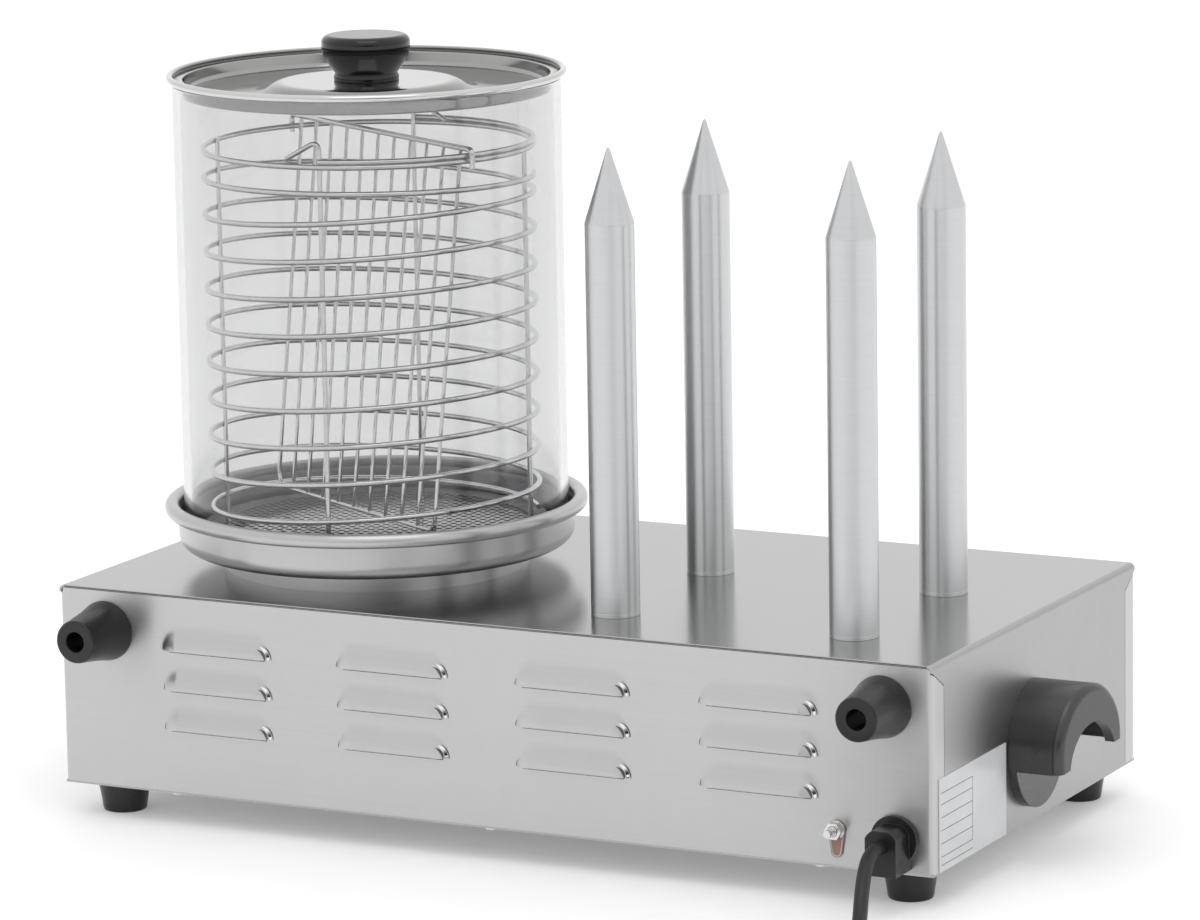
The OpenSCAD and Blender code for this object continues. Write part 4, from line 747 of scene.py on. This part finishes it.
# %% Basket
RING_R, RING_W = 85.0, 1.5
TOP_RING_Z, HALF_RING_Z = 219.1, 221.75
UPRIGHT = ((82.55, 21.3, 0), (82.55, 220.4, 0))  # radius, height and way aside of its points
HOOK = ((82.55, 21.3, 0), (82.55, 229.6, 0), (82.55, 231, 3), (76.05, 221.6, 19.5))
ENDS = np.array([203.0, *(204.15 - 9.55 * np.arange(19)), 26.0])
LEAN = radians(1.25)
FIRST = 207  # heading at which the winding starts, in degrees
HOOKED, PLAIN = (102, 282), (192, 372)


def on_ring(angle, radius, height):
    """Points of the stack by their angle in degrees, their radius and their height above the top sheet."""
    angle = np.radians(angle)
    x, y = STACK[0] + radius * np.cos(angle), STACK[1] + radius * np.sin(angle)
    return np.stack(np.broadcast_arrays(x, y, TOP + np.asarray(height, float)), axis=-1)


def spiral_path(steps=36):
    """The long wire. A half turn falls in proportion to its way along the line between its two ends, and leans.

    With the turn angle a, the way is (1 - cos a) / 2, and the lean adds the ring's radius times sin(lean) sin(a).
    """
    i = np.arange(len(ENDS) - 1)[:, None]
    a = np.linspace(0, pi, steps, endpoint=False)[None]
    start, end = ENDS[:-1, None], ENDS[1:, None]
    height = start + (end - start) * (1 - np.cos(a)) / 2 + RING_R * sin(LEAN) * np.sin(a) * (-1.0) ** i
    return on_ring(FIRST - 180 * (i % 2) - np.degrees(a), RING_R, height).reshape(-1, 3)


wires = [(spiral_path(), RING_W, False),
         (on_ring(np.arange(144) * 2.5, RING_R, TOP_RING_Z), RING_W, True),
         (on_ring(np.linspace(*HOOKED, 90), RING_R, HALF_RING_Z), RING_W, False)]
for angle in sorted(HOOKED + PLAIN):
    radius, height, aside = np.array(HOOK if angle in HOOKED else UPRIGHT).T
    side = np.array([sin(radians(angle)), -cos(radians(angle)), 0])
    post = on_ring(angle, radius, height) + aside[:, None] * side
    wires.append((rounded(post, 3.5, 8), 1.3, False))
basket = paint(tubes("basket_wires", wires, "basket"), WIRE)
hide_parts("basket_spiral", "basket_top_ring", "basket_uprights", "basket_half_ring")
tell(basket)

# %% [markdown]
# The divider is a leaning comb of wires that hangs on the basket's top ring by the bent ends of its top wire. Its
# last upright bends into the lower wire. A point of it is written by its way along the divider, its way to the
# leaning side and its height.

# %% Divider
DIV_TURN = radians(150.4)
ALONG = np.array([cos(DIV_TURN), sin(DIV_TURN), 0])
ACROSS = np.array([-sin(DIV_TURN), cos(DIV_TURN), 0])
DIV_Z, DIV_LOW, END = 225.0, 29.9, 88.35  # heights of its upper and lower wire, and half its length
NEAR, FAR, STEP = 6.5, -14.0, 15.6  # the lean above and below, and the distance of its uprights


def in_divider(*points):
    """Points of the divider: each is (along it, to its leaning side, above the top sheet)."""
    u, n, z = np.array(points, float).T[:, :, None]
    return np.array([*STACK, TOP]) + u * ALONG + n * ACROSS + z * np.array([0, 0, 1])


top_wire = in_divider((-END, NEAR, DIV_Z - 9.5), (-END, NEAR, DIV_Z), (END, NEAR, DIV_Z), (END, NEAR, DIV_Z - 9.5))
last = in_divider((-5 * STEP, NEAR, DIV_Z - 0.6), (-5 * STEP, FAR, DIV_LOW), (5 * STEP - 3, FAR, DIV_LOW),
                  (5 * STEP + 1.5, FAR, DIV_LOW + 4.5))
wires = [(rounded(top_wire, 2.8, 8), 1.5, False), (rounded(last, [0, 9, 3, 0], 8), 1.1, False)]
wires += [(in_divider((u, NEAR, DIV_Z - 0.6), (u, FAR, DIV_LOW)), 1.0, False) for u in STEP * np.arange(-4, 6)]
divider = paint(tubes("divider_grid", wires, "divider"), WIRE)
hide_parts("divider_frame", "divider_wires")
tell(divider)

# %% [markdown]
# ## Spikes, rubber and handles
#
# A spike is turned from bar: a crisp cone, a slight shoulder, the round shaft and a fine line above its seat. Inside
# it is bored for its heater. One outline for the lathe serves all four.

# %% Spikes
SPIKES = ((-182.75, -26.1), (-52.05, -26.1), (-182.75, 82.5), (-52.05, 82.5))
spike_line = rounded([(0, 235), (0.7, 234.4), (12.3, 197.5), (12.3, 2.6), (12.18, 2.45), (12.18, 2.15), (12.3, 2),
                      (12.3, 0), (8, 0), (8, -15.2), (5.15, -15.2), (5.15, 150.2), (0, 150.2)],
                     [0, 0.5, 0.5, 0, 0, 0, 0, 0.2, 0.2, 0.5, 0.3, 0.2, 0], 4)
for i, (x, y) in enumerate(SPIKES, 1):
    spike = lathe(f"spike_turned_{i}", spike_line, (x, y, TOP), "base", sides=72, closed=False)
    paint(spike, TURNED)
    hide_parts(f"toasting_spike_{i}")
tell(spike)

# %% [markdown]
# Feet and wall bumpers are the same tapered rubber piece in two sizes, with a well for the screw. Their flank is
# slightly hollow, which a third point in the outline gives.

# %% Feet and bumpers
SCREW_R, WELL_R, WELL_LOW = 2.75, 5.2, 6
FOOT_X, FOOT_Y, FOOT_H = 223, 107, 17
BUMPER_X, BUMPER_Z, BUMPER_L = 218, 99.3, 30


def rubber_line(length, wide, narrow):
    """Outline of a tapered rubber piece with a screw well, from its base to its free end."""
    waist = wide - (wide - narrow) * 0.5
    return rounded([(SCREW_R, 0), (wide, 0), (waist, 0.38 * length), (narrow, length), (WELL_R, length),
                    (WELL_R, WELL_LOW), (SCREW_R, WELL_LOW)], [0, 0.8, 5, 1.2, 0.8, 0.3, 0], 4, closed=True)


foot_line, bumper_line = rubber_line(FOOT_H, 14.3, 11.2), rubber_line(BUMPER_L, 15.7, 11)
for name, x, y in (("rear_left", -FOOT_X, FOOT_Y), ("rear_right", FOOT_X, FOOT_Y),
                   ("front_left", -FOOT_X, -FOOT_Y), ("front_right", FOOT_X, -FOOT_Y)):
    foot = paint(lathe(f"rubber_foot_{name}", foot_line, (x, y, FOOT_H), "base", "-z", 64), RUBBER)
    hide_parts(f"foot_{name}")
for name, x in (("left", -BUMPER_X), ("right", BUMPER_X)):
    bumper = lathe(f"rubber_bumper_{name}", bumper_line, (x, HALF_D, BUMPER_Z), "base", "y", 72)
    paint(bumper, RUBBER)
    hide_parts(f"wall_bumper_{name}")
tell(foot, bumper)

# %% [markdown]
# Handles, gland, dial grip, switch and fasteners could be modelled anew, but only their edges are wrong, so the solids
# are eased.

# %% Handles, gland, controls and fasteners
for side in ("left", "right"):
    grip = paint(eased(f"hand_grip_{side}", f"handle_{side}", 1.2, "base"), GRIP)
paint(eased("gland_block", "cord_gland", 0.7, "base"), RUBBER)
paint(eased("dial_grip", "control_knob", 0.8, "dial"), GLOSS)
paint(eased("switch_frame", "rocker_frame", 0.5, "base"), GRIP)
paint(eased("switch_button", "rocker_button", 0.5, "rocker"), RED)
for node, width in (("cover_screws", 0.6), ("foot_screws", 0.8), ("bumper_screws", 0.8), ("handle_screws", 0.8),
                    ("inner_nuts", 0.4), ("earth_stud", 0.3), ("earth_nuts", 0.4), ("earth_washer", 0.2),
                    ("spike_nuts", 0.8), ("heater_nuts", 0.4), ("dial_plate", 0.2)):
    paint(eased(f"{node}_eased", node, width, "base"), BRIGHT)
tell(grip)

# %% [markdown]
# ## Louvres
#
# A louvre is cut along its lower edge and pressed out, so its back runs into the flat sheet in a soft curve, while its
# ends are tight. A subdivided box would need many loops for this. A thin skin over the panel follows a formula instead.

# %% Louvre skins
LOUVRE_X = (np.arange(4) - 1.5) * 101.4
LOUVRE_Z = TOP - 29.3 - 20.7 * np.arange(3)
BACK_R, BACK_AXIS = 13.54, 10.54  # radius of a louvre's back, and how far its axis lies behind the panel
STRAIGHT = 23.5  # half the straight part of its edge
FADE_FROM, FADE_OVER = 9.5, 7  # where the skin starts to run into the sheet, and over what distance
TIGHT, SOFT = 0.25, 2.2  # softness at a louvre's ends, and what is added above it


def louvre_rise(u, v):
    """How far a louvre stands out at u along its open edge and v above it.

    With the distance d from the straight part of the edge, the louvre's back b is a circle about an axis behind the
    panel. The rise is the soft maximum of b and the flat sheet, (b + sqrt(b^2 + k^2)) / 2, and fades with d. Its
    softness k is large above the louvre and small at its ends.
    """
    past = np.maximum(np.abs(u) - STRAIGHT, 0)
    d = np.hypot(past, v)
    b = np.sqrt(np.maximum(BACK_R ** 2 - d ** 2, 0)) - BACK_AXIS
    k = TIGHT + SOFT * (np.arctan2(v, past + 1e-6) / (pi / 2)) ** 2
    fade = np.clip((d - FADE_FROM) / FADE_OVER, 0, 1)
    return (b + np.sqrt(b ** 2 + k ** 2)) / 2 * (1 - fade ** 2 * (3 - 2 * fade))


def over_louvres(name, u, v, lift, material):
    """A grid over each of the louvres, in one object: u and v are grids, and the rise plus `lift` carries them out."""
    one = np.stack([u, HALF_D + lift + louvre_rise(u, v), v], axis=-1).reshape(-1, 3)
    x, z = (a.ravel() for a in np.meshgrid(LOUVRE_X, LOUVRE_Z, indexing="ij"))
    points = one[None] + np.stack([x, 0 * x, z], axis=1)[:, None]
    faces = np.arange(len(x))[:, None, None] * len(one) + grid(*u.shape)[None]
    skin = piece(name, points.reshape(-1, 3), faces.reshape(-1, 4).tolist(), "base", sharp=60)
    return paint(skin, material)


u, v = np.meshgrid(np.linspace(-36, 36, 91), np.linspace(0, 17, 36), indexing="ij")
skins = over_louvres("louvre_skins", u, v, 0.01, PANEL)
tell(skins)

# %% [markdown]
# At its end a louvre mirrors its own dark throat. That reflection is painted: thin dark blades of painted shade and one
# bright blade of painted highlight curl round the end. The shade below each cut is a painted dark line, and so is the
# shadow where the top sheet laps the rear panel. Such lines, and all print, are flat strips a hair above the surface.
# They could be painted in a material, but a mesh keeps a clean edge.

# %% Louvre ends, and painted shade at the cuts and the seam
def strips(name, starts, ends, out, width, lift, body, material):
    """Flat strips of one width along straight lines, `lift` above a surface whose normal is `out`.

    The strip's corners are its ends, moved to both sides by half the width times the direction square to `out`.
    """
    starts, ends, out = (np.asarray(v, float) for v in (starts, ends, out))
    side = np.cross(out, ends - starts)
    side *= width / 2 / np.linalg.norm(side, axis=1)[:, None]
    points = np.stack([starts - side, ends - side, ends + side, starts + side], axis=1) + lift * out
    faces = np.arange(4 * len(starts)).reshape(-1, 4)
    return paint(piece(name, points.reshape(-1, 3), faces.tolist(), body), material)


def painted_blades(name, way, middle, half, turn, material):
    """A thin blade of painted reflection round one end of each louvre: an arc of radius `middle` whose half width
    grows and falls again.

    `way` is -1 or 1 for the end at smaller or larger x, and `turn` the arc's angle in degrees.
    """
    s = np.linspace(0, 1, 13)[:, None]
    reach = middle + np.array([-1, 1]) * half * np.sin(pi * (0.12 + 0.88 * s))
    a = np.radians(turn * s)
    over_louvres(name, way * (STRAIGHT + reach * np.cos(a)), reach * np.sin(a), 0.05, material)


# Painted reflection at each louvre's end: the dark blades are painted shade, and the bright one in wire steel is a
# painted highlight.
painted_blades("louvre_throats", -1, 5.6, 0.65, 78, DARK_STEEL_AND_SHADE)
painted_blades("louvre_glints", -1, 7.2, 0.75, 70, WIRE)
painted_blades("louvre_edges", -1, 8.4, 0.30, 62, DARK_STEEL_AND_SHADE)
painted_blades("louvre_tails", 1, 8.2, 0.30, 26, DARK_STEEL_AND_SHADE)

# Painted shade: a dark line on the flat sheet under the lip of each louvre's cut.
CUT_SHADOW_HALF, CUT_SHADOW_W = 28, 1.1  # half the length of a cut, and its width
SEAM_END, SEAM_Z = HALF_W - 3, TOP - 0.75
REAR = (0, 1, 0)
x, z = (v.ravel() for v in np.meshgrid(LOUVRE_X, LOUVRE_Z - CUT_SHADOW_W / 2, indexing="ij"))
flat = np.full_like(x, HALF_D)
strips("louvre_cuts", np.stack([x - CUT_SHADOW_HALF, flat, z], 1), np.stack([x + CUT_SHADOW_HALF, flat, z], 1), REAR, CUT_SHADOW_W, 0.02,
       "base", DARK_STEEL_AND_SHADE)
# Painted shadow: a dark line where the top sheet laps the rear panel.
strips("top_seam", [(-SEAM_END, HALF_D, SEAM_Z)], [(SEAM_END, HALF_D, SEAM_Z)], REAR, 0.6, 0.02, "base",
       DARK_STEEL_AND_SHADE)
print(len(x), "cut lines")

# %% [markdown]
# ## Print
#
# The rating plate keeps plain ruled boxes only, the earth tag a pale border, and the dial ticks. The dial starts at the
# top and turns through 270 degrees, and a pale line on the grip points to the tick.

# %% Plate, tag and dial
PLATE_X, PLATE_Y, PLATE_Z, PLATE_H = -245.4, 123.0, 18.0, 46.5
RULE_Y = PLATE_Y - 40  # where the rules end
rows = PLATE_Z + PLATE_H * np.array([0.07, 0.16, 0.30, 0.44, 0.58, 0.72, 0.84])
starts = [(PLATE_X, PLATE_Y - 2, z) for z in rows] + [(PLATE_X, RULE_Y, rows[1])]
ends = [(PLATE_X, RULE_Y, z) for z in rows] + [(PLATE_X, RULE_Y, rows[-1])]
strips("plate_rules", starts, ends, (-1, 0, 0), 0.35, 0.03, "base", RULES)

EARTH = np.array([-194.0, HALF_D + 1.0, 36.3])
border = np.vstack([arc((0, 0), 3.9, -17, 197, 24), arc((0, -11), 2.3, 197, 343, 16)])
border = EARTH + np.stack([-border[:, 0], 0 * border[:, 0], border[:, 1]], axis=1)
paint(tubes("tag_border", [(border, 0.28, True)], "base", 8), PALE)

FRONT = np.array([0, -1, 0])
DIAL = np.array([121.0, -HALF_D, 67.5])
TICK_IN, TICK_OUT, TICKS = 23.5, 27.5, 10
a = np.radians(np.linspace(0, 270, TICKS))
out = np.stack([np.sin(a), 0 * a, np.cos(a)], axis=1)
strips("dial_ticks", DIAL + FRONT + TICK_IN * out, DIAL + FRONT + TICK_OUT * out, FRONT, 0.9, 0.03, "base",
       RULES)
strips("dial_pointer", [DIAL + (0, -30, 9)], [DIAL + (0, -30, 17)], FRONT, 1.4, 0.02, "dial", PALE)
print(len(rows), "rules and", len(a), "ticks")

# %% [markdown]
# ## Studio
#
# The sky is a soft ceiling over pale walls and a ring of screens, whose brightness by heading is `SCREENS`. Area lamps
# could make this light, but a world of blended greys is smoother on metal. Metal mirrors a low dark gap behind the
# camera as dark lines. Brightness stays near 1, so that colours show about as they are written.

# %% Sky
SCREENS = ((0.0, 0.90), (0.20, 0.85), (0.325, 1.0), (0.45, 0.90), (0.575, 0.95), (0.70, 0.85), (0.77, 0.55),
           (0.80, 0.30), (0.85, 0.30), (0.89, 0.55), (0.95, 0.85))
WALLS, OVERHEAD = 0.97, 1.05
WALLS_FROM, OVERHEAD_FROM = (0.10, 0.36), (0.6, 1.0)  # heights over which each takes over
GAP, GAP_LIGHT = radians(127), 0.08  # heading and brightness of the dark gap
GAP_EDGE, GAP_TOP = (0.12, 0.28), (0.12, 0.32)
world = bpy.data.worlds.new("studio")
scene.world = world
world.use_nodes = True
tree = world.node_tree
way = new_node(tree, "SeparateXYZ", {0: coordinates(tree, "Generated")}).outputs
heading = maths("ARCTAN2", way["Y"], way["X"])
screens = greys(spread(heading, 0, 1, (-pi, pi)), SCREENS)
screens.color_ramp.interpolation = "EASE"
colour = screens.outputs["Color"]
for value, span in ((WALLS, WALLS_FROM), (OVERHEAD, OVERHEAD_FROM)):
    colour = blend(spread(way["Z"], 0, 1, span), colour, (value, value, value, 1))
aside = maths("ABSOLUTE", maths("SUBTRACT", heading, GAP))
light = maths("MAXIMUM", spread(aside, GAP_LIGHT, 1, GAP_EDGE), spread(way["Z"], 0, 1, GAP_TOP))
feed(tree.nodes["Background"], {"Color": colour, "Strength": light})
print("sky of", len(SCREENS), "screens, walls", WALLS, "and ceiling", OVERHEAD)

# %% [markdown]
# One large lamp overhead gives the soft shadow below the machine. The floor could be brighter paint, but that would
# also light the machine. Instead, it glows a little for rays from the camera, from gloss and through glass only, so
# that the ground is white and the shadow stays.

# %% Lamp and floor
LAMP_SIZE, LAMP_WATTS = 2.0, 12
LAMP_AT, LAMP_AIM = (-0.6, 1.0, 3.4), Vector((0, 0, 0.15))
REACH, GLOW = 14, 0.2  # half the floor's side in metres, and its glow
lamp = bpy.data.lights.new("key", "AREA")
lamp.size, lamp.energy = LAMP_SIZE, LAMP_WATTS
key = added("key", lamp)
key.location = LAMP_AT
key.rotation_euler = (LAMP_AIM - key.location).to_track_quat("-Z", "Y").to_euler()

floor_mesh = bpy.data.meshes.new("floor")
corners = [(-REACH, -REACH, 0), (REACH, -REACH, 0), (REACH, REACH, 0), (-REACH, REACH, 0)]
floor_mesh.from_pydata(corners, [], [(0, 1, 2, 3)])
floor = added("floor", floor_mesh)
FLOOR = moulded("white_floor", (0.90, 0.90, 0.90), (0.92, 0.92, 0.92), (0.7, 0.8), 40, 0.01, 0.02)
paint(floor, FLOOR)
tree = FLOOR.node_tree
ray = new_node(tree, "LightPath").outputs
mirrored = maths("MAXIMUM", ray["Is Glossy Ray"], ray["Is Transmission Ray"])
seen = maths("MAXIMUM", ray["Is Camera Ray"], mirrored)
feed(tree.nodes["Principled BSDF"], {"Emission Color": (1, 1, 1, 1),
                                     "Emission Strength": maths("MULTIPLY", seen, GLOW)})
scene.view_settings.view_transform = "Standard"
print("lamp of", lamp.energy, "W, floor", FLOOR.name)
